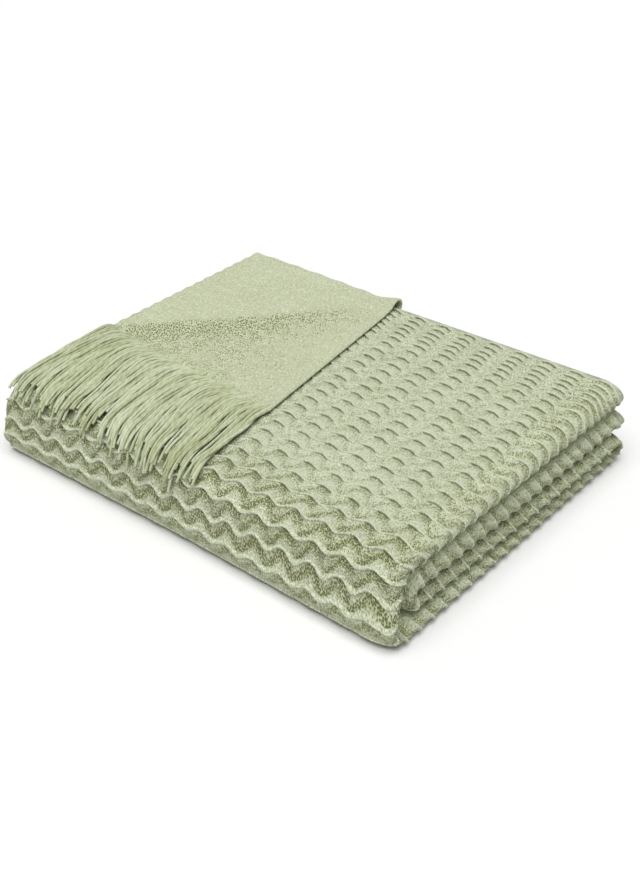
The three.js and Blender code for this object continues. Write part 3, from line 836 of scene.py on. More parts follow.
def flap_height(c, x, y):
    ridge = FLAP_RIDGE * (1 - c * c) * smoothstep(y - flap_crease(c), *FLAP_RIDGE_SLOPE)
    away = math.hypot(x - PART_LAYER_X, y - PACK_DEPTH) / FLAP_CORNER_SPREAD
    corner = FLAP_CORNER * math.exp(-away * away)
    clear = lerp(FLAP_CLEAR["front"], FLAP_CLEAR["back"], backness(y))
    return pack_top(x, y) + clear + HALF + ridge + corner + flap_trace(x, y)


def flap_bend_point(c, turn, offset):
    x = flap_x(c, 0)
    low = pack_top(x, PACK_DEPTH) - layer_depth(PART, x, PATH_LENGTH)
    high = flap_height(c, x, PACK_DEPTH)
    radius = (high - low) / 2 + offset
    angle = math.pi * (turn - 0.5)
    return x, PACK_DEPTH + radius * math.cos(angle), (low + high) / 2 + radius * math.sin(angle)


def flap_point(c, t, offset):
    x = flap_x(c, t)
    y = lerp(PACK_DEPTH, flap_root_y(c), t)
    return x, y, flap_height(c, x, y) + offset


def flap_open_shade(c, y):
    """Painted shade of open stitches on the smooth side: just in front of the crease."""
    before = flap_crease(c) - y
    near = faded(before, *FLAP_OPEN_FAR) * faded(c, *FLAP_OPEN_RIGHT)
    band = lerp(FLAP_BAND_OPEN, 1.0, beside_band(flap_x(c, 0.5)))
    return near * smoothstep(before, *FLAP_OPEN) * band


def flap_line(skin, c, offset, push=0.0):
    line = []
    for i in range(BEND_STEPS + 1):
        x, y, z = flap_bend_point(c, i / BEND_STEPS, offset)
        along = PACK_DEPTH + (BEND_STEPS - i) * FLAP_BEND_STEP
        line.append(Station(i, skin.add((x + push, y, z), (x, along))))
    for i in range(1, FLAP_ROWS + 1):
        x, y, z = flap_point(c, i / FLAP_ROWS, offset)
        made = skin.add((x + push, y, z), (x, y), openness=flap_open_shade(c, y))
        line.append(Station(BEND_STEPS + i, made))
    return line


def flap_lines(skin, offset):
    return [flap_line(skin, k / FLAP_COLUMNS, offset) for k in range(FLAP_COLUMNS + 1)]


def flap_edge(skin, c, push):
    """The rounded middle of an edge, between the two sides' lines."""
    line = flap_line(skin, c, 0.0, push)[1:]
    return [Station(station.at - 0.5, station.id) for station in line]


def across(lines, index):
    last = len(lines) - 1
    return [Station(k / last, line[index].id) for k, line in enumerate(lines)]


def ends(rails, lines, index):
    return [Station(rail.s, line[index].id) for rail, line in zip(rails, lines)]


def closed(line, flap):
    """A line of the part layer, up to the first point of the laid-over end."""
    return [*line, Station(PATH_LENGTH, flap[0].id)]


def build_cloth(knit):
    """The whole folded cloth as one closed skin."""
    skin = Skin()
    face = section_rails(-1)
    reverse = section_rails(1)

    # First layer: ribbed round the back bend, over the front and on the top, and plain elsewhere
    roll_edge = ribbed_line(skin, face.first[2], ROLL_ROWS, knit)
    zones = [0, *BEND_ZONE, RIB_ZONE - HALF, math.inf]
    edges = [
        [station for station in roll_edge if low <= station.at < high]
        for low, high in zip(zones, zones[1:])
    ]
    count = round(ROLL_X / WAVE_LENGTH * knit.columns_per_wave)
    bend = []
    columns = []
    for i in range(count):
        x = ROLL_X * i / count
        rail = flat_rail(i / count, FIRST, x, -1)
        rows = COVERED_ROWS if COVERED_X[0] < x < COVERED_X[1] else FACE_ROWS
        bend.append(ribbed_line(skin, rail, BEND_ROWS, knit))
        columns.append(ribbed_line(skin, rail, rows, knit))
    inside = [row for row in BEFORE_RIBS if row.at < BEND_ZONE[0]]
    beneath = [row for row in BEFORE_RIBS if row.at > BEND_ZONE[1]]
    plain = plain_lines(skin, face.first[:2], inside)
    under = plain_lines(skin, face.first[:2], beneath)
    bands = [[*lines, edge] for lines, edge in zip((plain, bend, under, columns), edges)]
    for band in bands:
        skin.strips(band, RIBBED)
    for before, after in zip(bands, bands[1:]):
        skin.strip(across(after, 0), across(before, -1), RIBBED)

    # Roll, the other layers and the smooth side
    roll_lines = [ribbed_line(skin, rail, ROLL_ROWS, knit) for rail in face.roll]
    rest_lines = plain_lines(skin, face.rest, COARSE_ROWS)
    part_lines = plain_lines(skin, face.part, COARSE_ROWS[:-1])
    reverse_rails = [*reverse.first, *reverse.roll, *reverse.rest]
    reverse_lines = [
        plain_line(skin, reverse_rails[0], BEFORE_RIBS + FACE_ROWS),
        *plain_lines(skin, reverse_rails[1:], COARSE_ROWS),
    ]
    reverse_part = plain_lines(skin, reverse.part, COARSE_ROWS[:-1])

    # The end laid over the top, whose first points close the part layer
    flap_face = flap_lines(skin, -HALF)
    flap_reverse = flap_lines(skin, HALF)
    part_left = closed(part_lines[0], flap_face[0])
    part_right = closed(part_lines[1], flap_face[-1])
    back_left = closed(reverse_part[0], flap_reverse[0])
    back_right = closed(reverse_part[1], flap_reverse[-1])
    later_lines = [*roll_lines, *rest_lines, part_left]
    back_lines = [*reverse_lines, back_left]

    skin.strips([roll_edge, *later_lines], RIBBED)
    skin.strips(part_lines, RIBBED)
    skin.strip(part_right, back_right, SMOOTH)
    skin.strips(reverse_part[::-1], SMOOTH)
    skin.strips(back_lines[::-1], SMOOTH)
    left_end = [station for band in bands for station in band[0]]
    skin.strip(reverse_lines[0], left_end, RIBBED)
    skin.strip(across(flap_face, 0), across(part_lines, -1), RIBBED)
    skin.strip(across(flap_reverse[::-1], 0), across(reverse_part[::-1], -1), SMOOTH)
    skin.strips(flap_face, RIBBED)
    selvedge = flap_edge(skin, 1, FLAP_ROUND)
    left_edge = flap_edge(skin, 0, -FLAP_ROUND)
    skin.rounded_strip(flap_face[-1], selvedge, flap_reverse[-1], SMOOTH)
    skin.strips(flap_reverse[::-1], SMOOTH)
    skin.rounded_strip(flap_reverse[0], left_edge, flap_face[0], SMOOTH)
    root = [Station(-1, left_edge[-1].id), *across(flap_reverse, -1), Station(2, selvedge[-1].id)]
    skin.strip(root, across(flap_face, -1), SMOOTH)

    # Ends of the strip, between the two sides
    later_rails = [*face.roll, *face.rest, face.part[0]]
    back_rails = [*reverse_rails, reverse.part[0]]
    start_face = ends([*face.first, *later_rails], [*plain, roll_edge, *later_lines], 0)
    start_back = ends(back_rails, back_lines, 0)
    last_s = face.part[1].s
    skin.strip(
        [*start_face, Station(last_s, part_right[0].id)],
        [*start_back, Station(last_s, back_right[0].id)],
        SMOOTH,
    )
    column_ends = [Station(k / count, line[-1].id) for k, line in enumerate(bands[-1])]
    skin.strip(
        ends(back_rails, back_lines, -1),
        [*column_ends, *ends(later_rails, later_lines, -1)],
        SMOOTH,
    )
    return skin


# Materials

Stitch = namedtuple("Stitch", "width height jitter hole relief")
# holes is the share of stitches that lie open on closed and on open cloth
# the tone's level follows the cloth's height and open knit, and holes go dark: painted shade
Tone = namedtuple("Tone", "base by_rise by_open holes hole_depth patches grain flecks")
RIBBED_TONE = Tone(
    base=0.73, by_rise=0.30, by_open=0.45, holes=(0.3, 1.35), hole_depth=0.75,
    patches=0.8, grain=0.45, flecks=0.5,
)
# the same yarn as the ribbed side with a lower base: painted shade on the flat side, which faces the
# light
SMOOTH_TONE = Tone(
    base=0.58, by_rise=0.20, by_open=0.12, holes=(0.05, 1.3), hole_depth=0.85,
    patches=3.0, grain=0.22, flecks=0.2,
)
ROW_SHIFT = 0.5  # of a stitch, from one row to the next
HOLE_CHANCE = (-0.05, 0.4)  # openness over a stitch's own value at which its painted shade hole starts, and at which it is full
HOLE_RIM = 0.35  # where a hole's rim starts, as a share of its size
STITCH_ROUND = 0.6
CLOUDS = (45.0, 2.0)  # scale and detail of the noise
FLECKS = (900.0, 3.0)
PATCHES = (130.0, 1.0)
FIBRES = (1.0, 2.0)
HOLE_SHADE = 0.4  # what a hole takes from the tone round it
CLOSED_HOLE_SHADE = 0.25  # share of a hole's painted shade on closed cloth
# strength of the painted shadow in the slot before a rib
SLOT_SHADE_DEPTH = 0.65
FUZZ = 0.5  # share of the flecks in the cloth's relief
FIBRES_ROUND = 7.0  # fibres of a yarn for each ply, and how often they change along it
FIBRES_ALONG = 300.0
FIBRE_RELIEF = 0.6
GROOVE_SHADE = (0.4, 0.3)  # a yarn's level in a groove, and what its height adds: painted shade in the grooves
YARN_FLECKS = 0.5
YARN_RELIEF = 0.00035
KNIT_BUMP = 1.0
YARN_BUMP = 0.5
SOFT_SHINE = {"Specular IOR Level": 0.1, "Sheen Weight": 0.12, "Sheen Roughness": 0.6}
KNIT_ROUGHNESS = 0.92
YARN_ROUGHNESS = 0.9
FLOOR_ROUGHNESS = 0.9


class Wiring:
    """Adds nodes to a node tree and joins them."""

    def __init__(self, tree):
        self.tree = tree

    def node(self, kind, inputs=None, **settings):
        made = self.tree.nodes.new(kind)
        for name, value in settings.items():
            setattr(made, name, value)
        self.feed_all(made.inputs, inputs or {})
        return made

    def feed(self, socket, value):
        if isinstance(value, bpy.types.NodeSocket):
            self.tree.links.new(value, socket)
        else:
            socket.default_value = value

    def feed_all(self, sockets, values):
        for name, value in values.items():
            self.feed(sockets[name], value)

    def math(self, operation, *values):
        made = self.node("ShaderNodeMath", operation=operation)
        for socket, value in zip(made.inputs, values):
            self.feed(socket, value)
        return made.outputs[0]

    def mix_colour(self, share, a, b):
        made = self.node("ShaderNodeMix", {"Factor": share}, data_type="RGBA")
        colours = [socket for socket in made.inputs if socket.type == "RGBA"]
        self.feed(colours[0], a)
        self.feed(colours[1], b)
        return next(socket for socket in made.outputs if socket.type == "RGBA")

    def smooth_range(self, value, low, high):
        limits = {"Value": value, "From Min": low, "From Max": high}
        made = self.node("ShaderNodeMapRange", limits, interpolation_type="SMOOTHSTEP")
        return made.outputs["Result"]

    def noise(self, vector, scale, detail):
        inputs = {"Vector": vector, "Scale": scale, "Detail": detail}
        return self.node("ShaderNodeTexNoise", inputs).outputs["Fac"]

    def split(self, vector):
        return self.node("ShaderNodeSeparateXYZ", {"Vector": vector}).outputs

    def vector(self, x, y):
        return self.node("ShaderNodeCombineXYZ", {"X": x, "Y": y}).outputs["Vector"]

    def attribute(self, name):
        return self.node("ShaderNodeAttribute", attribute_name=name).outputs["Fac"]

    def pattern(self):
        return self.node("ShaderNodeUVMap", uv_map="pattern").outputs["UV"]

    def object_place(self):
        return self.node("ShaderNodeTexCoord").outputs["Object"]


def new_group(name, kind, inputs, outputs):
    """A node group's wiring, the sockets that it is given and those of its result."""
    tree = bpy.data.node_groups.new(name, kind)
    for way, sockets in (("INPUT", inputs), ("OUTPUT", outputs)):
        for socket, value in sockets.items():
            tree.interface.new_socket(socket, in_out=way, socket_type="NodeSocket" + value)
    wires = Wiring(tree)
    return wires, wires.node("NodeGroupInput").outputs, wires.node("NodeGroupOutput").inputs


def stitch_group(name):
    """Uneven stitches round small holes: their height, which holes lie open, and each one's tone."""
    sizes = dict.fromkeys(("Width", "Height", "Jitter", "Size", "Open"), "Float")
    looks = dict.fromkeys(("Relief", "Hole", "Grain"), "Float")
    wires, given, result = new_group(name, "ShaderNodeTree", {"Pattern": "Vector", **sizes}, looks)
    pattern = wires.split(given["Pattern"])
    row = wires.math("DIVIDE", pattern["Y"], given["Height"])
    column = wires.math("DIVIDE", pattern["X"], given["Width"])
    stitch = wires.vector(wires.math("MULTIPLY_ADD", row, ROW_SHIFT, column), row)
    cells = wires.node(
        "ShaderNodeTexVoronoi", voronoi_dimensions="2D", feature="F1",
        inputs={"Vector": stitch, "Scale": 1.0, "Randomness": given["Jitter"]},
    ).outputs
    chance = wires.node("ShaderNodeSeparateColor", {"Color": cells["Color"]}).outputs
    spare = wires.math("SUBTRACT", given["Open"], chance[0])
    rim = wires.math("MULTIPLY", given["Size"], HOLE_RIM)
    outside = wires.smooth_range(cells["Distance"], rim, given["Size"])
    inside = wires.math("SUBTRACT", 1.0, outside)
    hole = wires.math("MULTIPLY", inside, wires.smooth_range(spare, *HOLE_CHANCE))
    wires.feed_all(result, {
        "Relief": wires.smooth_range(cells["Distance"], 0.0, STITCH_ROUND),
        "Hole": hole,
        "Grain": wires.math("SUBTRACT", chance[1], 0.5),
    })
    return wires.tree


def heather_group(name):
    """Yarn's tone between its light and shade colours: dyed in soft clouds and fine flecks, round a
    level that also carries painted shade.
    """
    wires, given, result = new_group(
        name, "ShaderNodeTree",
        {"Place": "Vector", "Light": "Color", "Shade": "Color", "Level": "Float", "Flecks": "Float"},
        {"Colour": "Color", "Fuzz": "Float"},
    )
    clouds = wires.noise(given["Place"], *CLOUDS)
    flecks = wires.noise(given["Place"], *FLECKS)
    spread = wires.math("SUBTRACT", wires.math("ADD", clouds, flecks), 1.0)
    share = wires.math("MULTIPLY_ADD", spread, given["Flecks"], given["Level"])
    colour = wires.mix_colour(share, given["Shade"], given["Light"])
    wires.feed_all(result, {"Colour": colour, "Fuzz": flecks})
    return wires.tree


def place_group(wires, name, make, **values):
    tree = bpy.data.node_groups.get(name) or make(name)
    return wires.node("ShaderNodeGroup", values, node_tree=tree).outputs


def new_material(name):
    material = bpy.data.materials.new(name)
    material.use_nodes = True
    return material, Wiring(material.node_tree), material.node_tree.nodes["Principled BSDF"].inputs


def dress(wires, shader, colour, relief, depth, strength, roughness):
    """Gives a fabric its colour, its relief as bump and its soft shine."""
    bump = wires.node("ShaderNodeBump", {"Height": relief, "Distance": depth, "Strength": strength})
    wires.feed_all(shader, {
        "Base Color": colour, "Normal": bump.outputs["Normal"], "Roughness": roughness, **SOFT_SHINE,
    })


def knit_material(name, colours, stitch, tone):
    """Knitted cloth: stitches on the cloth's own lengths, with painted shade in holes and pockets where
    it lies open, in slots before ribs and in low places.
    """
    material, wires, shader = new_material(name)
    spot = wires.object_place()
    open_shade_share = wires.attribute("openness")
    least, most = tone.holes
    patches = wires.noise(spot, *PATCHES)
    patches = wires.math("MULTIPLY_ADD", patches, tone.patches, -0.5 * tone.patches)
    patchy = wires.math("MULTIPLY", open_shade_share, wires.math("ADD", open_shade_share, patches))
    stitches = place_group(
        wires, "knit_stitches", stitch_group, Pattern=wires.pattern(),
        Width=stitch.width, Height=stitch.height, Jitter=stitch.jitter, Size=stitch.hole,
        Open=wires.math("MULTIPLY_ADD", patchy, most - least, least),
    )
    # painted shade and light: the cloth's low places are darker and its rib tops lighter
    level = wires.math("MULTIPLY_ADD", wires.attribute("rise"), tone.by_rise, tone.base)
    # painted shade: open knit is darker
    level = wires.math("MULTIPLY_ADD", open_shade_share, -tone.by_open, level)
    level = wires.math("MULTIPLY_ADD", stitches["Grain"], tone.grain, level)
    level = wires.math("MULTIPLY_ADD", stitches["Hole"], -HOLE_SHADE, level)
    heather = place_group(
        wires, "heather_tone", heather_group,
        Place=spot, Light=colours.light, Shade=colours.shade, Level=level, Flecks=tone.flecks,
    )
    # painted shade in the holes of open stitches, mixed towards the gap colour
    closed_hole_shade = CLOSED_HOLE_SHADE * tone.hole_depth
    hole_shade_share = wires.math("MULTIPLY_ADD", open_shade_share, tone.hole_depth - closed_hole_shade, closed_hole_shade)
    hole = wires.math("MULTIPLY", stitches["Hole"], hole_shade_share)
    # painted shadow in the slot before a rib
    slot = wires.math("MULTIPLY", wires.attribute("slot"), SLOT_SHADE_DEPTH)
    colour = wires.mix_colour(wires.math("MAXIMUM", hole, slot), heather["Colour"], colours.gap)
    relief = wires.math("MULTIPLY_ADD", heather["Fuzz"], FUZZ, stitches["Relief"])
    dress(wires, shader, colour, relief, stitch.relief, KNIT_BUMP, KNIT_ROUGHNESS)
    return material


def yarn_material(colours, ply):
    """Twisted yarn: plies and fibres that wind round it, with painted shade in the grooves."""
    material, wires, shader = new_material("fringe_yarn")
    pattern = wires.split(wires.pattern())
    wound = wires.math("ADD", wires.math("DIVIDE", pattern["X"], ply), pattern["Y"])
    groove = wires.math("ABSOLUTE", wires.math("SINE", wires.math("MULTIPLY", wound, math.pi)))
    fibre_place = wires.vector(
        wires.math("MULTIPLY", wound, FIBRES_ROUND), wires.math("MULTIPLY", pattern["X"], FIBRES_ALONG),
    )
    fibres = wires.noise(fibre_place, *FIBRES)
    low, rise = GROOVE_SHADE
    # painted shade: the yarn is darker in the grooves between its plies
    level = wires.math("ADD", wires.math("MULTIPLY_ADD", groove, rise, low), wires.attribute("strand"))
    tone = place_group(
        wires, "heather_tone", heather_group, Place=wires.object_place(),
        Light=colours.yarn, Shade=colours.shade, Level=level, Flecks=YARN_FLECKS,
    )
    relief = wires.math("MULTIPLY_ADD", fibres, FIBRE_RELIEF, groove)
    dress(wires, shader, tone["Colour"], relief, YARN_RELIEF, YARN_BUMP, YARN_ROUGHNESS)
    return material


# Settings


def distance_prop(name, description, default, **limits):
    return FloatProperty(
        name=name, description=description, default=default, unit="LENGTH", subtype="DISTANCE", **limits,
    )


def angle_prop(name, description, degrees, **limits):
    return FloatProperty(
        name=name, description=description, default=math.radians(degrees), subtype="ANGLE", **limits,
    )


def colour_prop(name, description, default):
    return FloatVectorProperty(
        name=name, description=description, default=(*default, 1.0), subtype="COLOR", size=4,
        min=0.0, max=1.0,
    )


class ThrowClothSettings(bpy.types.PropertyGroup):
    """Sizes of the cloth's knit."""

    rib_height: distance_prop(
        "Rib Height", "How far a rib stands up from the cloth, near the front", 0.0022, min=0.0,
    )
    pit_depth: distance_prop(
        "Pit Depth", "How far the low line of a cell sinks into the cloth", 0.0010, min=0.0,
    )
    columns_per_wave: IntProperty(
        name="Columns per Wave", description="Mesh columns in each wave of a rib", default=12, min=4,
    )
    stitch_width: distance_prop(
        "Stitch Width", "One stitch of the ribbed side, across the cloth", 0.0010, min=0.0005,
    )
    stitch_height: distance_prop(
        "Stitch Height", "One row of stitches of the ribbed side", 0.0014, min=0.0005,
    )
    smooth_width: distance_prop(
        "Smooth Width", "One stitch of the smooth side, across the cloth", 0.0020, min=0.0005,
    )
    smooth_height: distance_prop(
        "Smooth Height", "One row of stitches of the smooth side", 0.0017, min=0.0005,
    )


class FringeSettings(bpy.types.PropertyGroup):
    """Sizes of the fringe."""

    locks: IntProperty(name="Locks", description="Locks of yarn along the fringe", default=60, min=2)
    yarns: IntProperty(name="Yarns", description="Yarns in each lock", default=2, min=1)
    yarn_radius: distance_prop("Yarn Radius", "Half the thickness of one yarn", 0.00096, min=0.0002)
    left_length: distance_prop("Left Length", "Length of the yarns at the left edge", 0.096, min=0.02)
    right_length: distance_prop("Right Length", "Length of the yarns at the selvedge", 0.086, min=0.02)
    drift: distance_prop("Drift", "Sideways drift of the last lock", 0.012)
    ply: distance_prop(
        "Ply", "Distance along a yarn between the grooves of its twist", 0.0075, min=0.0005,
    )


class ThrowColourSettings(bpy.types.PropertyGroup):
    """Colours of the dyed yarn, and of its painted shade."""

    light: colour_prop("Light", "Lighter tone of the knit", (0.66, 0.71, 0.52))
    # the darker dyed tone, and also the colour of painted shade in pits, pockets and grooves
    shade: colour_prop("Shade", "Darker tone of the knit", (0.305, 0.325, 0.145))
    # colour of painted shade in open stitches and of painted shadow in the slots before ribs
    gap: colour_prop("Gap", "Depth between open stitches", (0.085, 0.092, 0.022))
    yarn: colour_prop("Yarn", "Lighter tone of the fringe", (0.56, 0.61, 0.445))


class StageSettings(bpy.types.PropertyGroup):
    """Floor, light and camera."""

    floor_size: distance_prop("Floor Size", "Side of the square floor", 8.0, min=1.0)
    floor_colour: colour_prop("Floor Colour", "Plain pale floor", (0.82, 0.82, 0.82))
    key_strength: FloatProperty(
        name="Key Strength", description="Strength of the wide, soft light above", default=2.95, min=0.0,
    )
    key_width: angle_prop(
        "Key Width", "Angle that the light above takes up, which softens its shadows", 60,
        min=0.0, max=math.pi,
    )
    sky: FloatProperty(
        name="Sky", description="Strength of the even light all round", default=0.32, min=0.0,
    )
    azimuth: angle_prop("Azimuth", "Turn of the camera round the pack, from the front", 38.9)
    elevation: angle_prop("Elevation", "Height of the camera over the surface, as an angle", 33.5)
    lens: FloatProperty(
        name="Lens", description="Focal length on a 36 mm sensor", default=56.2, min=10.0,
    )


# Fringe

LOCK_ROOM = 0.0042  # from the cloth's face to the middle of a lock
UNDER_ROOM = 0.0039  # and to the lone yarns under the locks
UNDER_SIZE = 1.3  # of a yarn
UNDER_LENGTH = 0.92  # of a lock, give or take
UNDER_LENGTHS = Uneven(0.07, 1.9)
LOCK_LENGTH = Uneven(0.006, 2.4)  # locks are up to this much longer or shorter
LOCK_LEANS = [Uneven(0.0026, 0.9), Uneven(0.0012, 2.2)]
LOCK_LEVEL = Uneven(0.0008, 2.6)  # locks lie up to this much higher or lower
Sway = namedtuple("Sway", "width length step")
LOCK_SWAYS = [Sway(0.0014, 0.019, 0.21), Sway(0.0003, 0.009, 1.9)]
LOCK_ARCH = 0.006
LOCK_BOW = 0.010  # sideways bow of the middle locks
BOW_ROUND = 0.6  # under 1, the locks beside them bow nearly as far
LOCK_SETTLE = 0.018
LOCK_FREE = 0.025
LOCK_TURN = 0.008  # run in which the yarns of a tight lock wind on by one radian
LOCK_FLAT = 0.75  # height of a lock, as a share of its width
LOCK_LOOSE = Uneven(1.0, 1.45)
LOOSE_RANGE = (0.2, 0.8)
# How uneven the yarns' lengths are, their size, how far they lie from the lock's line, in yarns, up
# to where they split and at the tips, and how fast they wind
Winding = namedtuple("Winding", "uneven size apart apart_at_tip turn")
TIGHT = Winding(0.03, 1.0, 0.7, 0.9, 1.0)
LOOSE = Winding(0.07, 0.8, 1.0, 2.2, 0.5)
SPLIT_START = 0.6  # share of a yarn's length
YARN_LENGTH = Uneven(1.0, 2.9)
YARN_SIZE = Uneven(0.12, 1.7)
YARN_START = Uneven(0.5, 1.2)  # in shares of the run inside the cloth
YARN_STEP = 0.0022
YARN_SIDES = 8
ROOT_REACH = 0.005  # run of a lock inside the cloth
ROOT_TAPER = 0.3
ROOT_END = 0.004
TIP_TAPER = 0.5
TIP_RUN = 0.007
STRAND_TONE = Uneven(0.25, 2.3)  # yarns are up to this much lighter or darker


def lock_run(sizes, index, room):
    """The line of one lock as a function of the run from the cloth's end, and its length."""
    c = (index + 0.5) / sizes.locks
    root_x, root_y, _ = flap_point(c, 1, 0)
    root_v = upper_outer_run.start + root_y - UPPER_RADIUS
    length = lerp(sizes.left_length, sizes.right_length, c) + LOCK_LENGTH.at(index)
    lean = sum(each.at(index) for each in LOCK_LEANS)
    level = room + LOCK_LEVEL.at(index)

    def at(run):
        share = clamp(run / length)
        free = smoothstep(run, 0, LOCK_FREE)
        sway = sum(each.width * math.sin(run / each.length + each.step * index) for each in LOCK_SWAYS)
        curve = math.sin(math.pi * math.sqrt(share))
        bow = LOCK_BOW * math.sin(math.pi * c) ** BOW_ROUND * curve
        x = root_x + sizes.drift * c * share - bow + free * (sway + lean * share)
        y = root_y - min(run, 0)
        in_cloth = flap_height(c, x, y) - pack_top(x, y)
        arch = LOCK_ARCH * (1 - c) * curve
        height = lerp(in_cloth, level, smoothstep(run, 0, LOCK_SETTLE)) + arch
        return root_v - run, x, height

    return at, length


def yarn_path(number, lock, length, wound, size):
    """Points and tapers of one yarn. wound gives its distance and its angle from the lock's line."""
    first = -ROOT_REACH * (1 + YARN_START.at(number))
    steps = round((length - first) / YARN_STEP)
    points = []
    tapers = []
    for i in range(steps + 1):
        run = lerp(first, length, i / steps)
        v, x, height = lock(run)
        apart, angle = wound(run)
        out = height + LOCK_FLAT * apart * math.sin(angle)
        points.append(in_frame(place(v, x + apart * math.cos(angle), -out)))
        emerged = lerp(ROOT_TAPER, 1.0, smoothstep(run, first, ROOT_END))
        tapers.append(size * emerged * faded(run, length - TIP_RUN, length, TIP_TAPER))
    return points, tapers


def yarn_paths(sizes):
    """Paths of every yarn: those of a lock wind round its line, and a lone one lies under two locks."""
    paths = []
    for index in range(sizes.locks):
        lock, lock_length = lock_run(sizes, index, LOCK_ROOM)
        winding = blend(TIGHT, LOOSE, smoothstep(LOCK_LOOSE.at(index), *LOOSE_RANGE))
        for yarn in range(sizes.yarns):
            number = index * sizes.yarns + yarn
            length = lock_length * (1 + winding.uneven * YARN_LENGTH.at(number))
            turn = 2 * math.pi * yarn / sizes.yarns + index

            def wound(run):
                split = smoothstep(run, SPLIT_START * length, length)
                apart = lerp(winding.apart, winding.apart_at_tip, split)
                return sizes.yarn_radius * apart, turn + winding.turn * run / LOCK_TURN

            size = winding.size * (1 + YARN_SIZE.at(number))
            paths.append(yarn_path(number, lock, length, wound, size))
    for index in range(sizes.locks - 1):
        pair = [lock_run(sizes, index + i, UNDER_ROOM) for i in range(2)]

        def between(run):
            return [sum(values) / 2 for values in zip(*(lock(run) for lock, _ in pair))]

        length = pair[0][1] * (UNDER_LENGTH + UNDER_LENGTHS.at(index))
        paths.append(yarn_path(index, between, length, lambda run: (0.0, 0.0), UNDER_SIZE))
    return paths


def yarn_tree(material):
    """Turns lines into round yarn, with its length and the way round it kept as pattern."""
    wires, given, result = new_group(
        "yarn_lines", "GeometryNodeTree", {"Lines": "Geometry", "Radius": "Float"}, {"Yarn": "Geometry"},
    )

    def kept(geometry, name, value):
        capture = wires.node("GeometryNodeCaptureAttribute")
        capture.capture_items.new("FLOAT", name)
        wires.feed_all(capture.inputs, {"Geometry": geometry, name: value})
        return capture.outputs

    ring = wires.node(
        "GeometryNodeCurvePrimitiveCircle", {"Resolution": YARN_SIDES, "Radius": given["Radius"]},
    )
    round_it = wires.node("GeometryNodeSplineParameter").outputs["Factor"]
    section = kept(ring.outputs["Curve"], "Around", round_it)
    curves = wires.node("GeometryNodeMeshToCurve", {"Mesh": given["Lines"]})
    taper = wires.node("GeometryNodeInputNamedAttribute", {"Name": "taper"}, data_type="FLOAT")
    sized = wires.node(
        "GeometryNodeSetCurveRadius",
        {"Curve": curves.outputs["Curve"], "Radius": taper.outputs["Attribute"]},
    )
    length = wires.node("GeometryNodeSplineParameter").outputs["Length"]
    line = kept(sized.outputs["Curve"], "Along", length)
    yarn = wires.node(
        "GeometryNodeCurveToMesh",
        {"Curve": line["Geometry"], "Profile Curve": section["Geometry"], "Fill Caps": True},
    )
    stored = wires.node(
        "GeometryNodeStoreNamedAttribute", data_type="FLOAT2", domain="CORNER",
        inputs={
            "Geometry": yarn.outputs["Mesh"],
            "Name": "pattern",
            "Value": wires.vector(line["Along"], section["Around"]),
        },
    )
    smooth = wires.node("GeometryNodeSetShadeSmooth", {"Geometry": stored.outputs["Geometry"]})
    realized = wires.node("GeometryNodeRealizeInstances", {"Geometry": smooth.outputs["Geometry"]})
    worn = wires.node(
        "GeometryNodeSetMaterial", {"Geometry": realized.outputs["Geometry"], "Material": material},
    )
    wires.feed(result["Yarn"], worn.outputs["Geometry"])
    return wires.tree


def add_nodes(piece, tree, **values):
    """Puts a node tree on a piece, with its inputs given by name."""
    modifier = piece.modifiers.new(tree.name, "NODES")
    modifier.node_group = tree
    for item in tree.interface.items_tree:
        if item.item_type == "SOCKET" and item.in_out == "INPUT" and item.name in values:
            modifier[item.identifier] = values[item.name]


def settle(piece):
    """Turns a piece's modifiers into its plain mesh."""
    depsgraph = bpy.context.evaluated_depsgraph_get()
    mesh = bpy.data.meshes.new_from_object(piece.evaluated_get(depsgraph), depsgraph=depsgraph)
    piece.modifiers.clear()
    piece.data = mesh


def new_piece(name, data):
    piece = bpy.data.objects.new(name, data)
    bpy.context.scene.collection.objects.link(piece)
    return piece


def store(mesh, **values):
    """Keeps a value for each point of a mesh, under its own name."""
    for name, of_points in values.items():
        mesh.attributes.new(name, "FLOAT", "POINT").data.foreach_set("value", of_points)


class THROW_OT_yarn_fringe(bpy.types.Operator):
    """Make the fringe of twisted yarns"""

    bl_idname = "throw.yarn_fringe"
    bl_label = "Yarn Fringe"

    def execute(self, context):
        sizes = context.scene.throw_fringe
        points = []
        edges = []
        tapers = []
        tones = []
        for number, (path, path_tapers) in enumerate(yarn_paths(sizes)):
            first = len(points)
            points += path
            tapers += path_tapers
            tones += [STRAND_TONE.at(number)] * len(path)
            edges += [(first + i, first + i + 1) for i in range(len(path) - 1)]
        lines = bpy.data.meshes.new("fringe_lines")
        lines.from_pydata(points, edges, [])
        store(lines, taper=tapers, strand=tones)
        piece = new_piece("fringe_yarns", lines)
        material = yarn_material(context.scene.throw_colours, sizes.ply)
        add_nodes(piece, yarn_tree(material), Radius=sizes.yarn_radius)
        settle(piece)
        if not piece.data.polygons:
            raise RuntimeError("the fringe has no yarn")
        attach(piece, BODY)
        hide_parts("fringe")
        return {"FINISHED"}


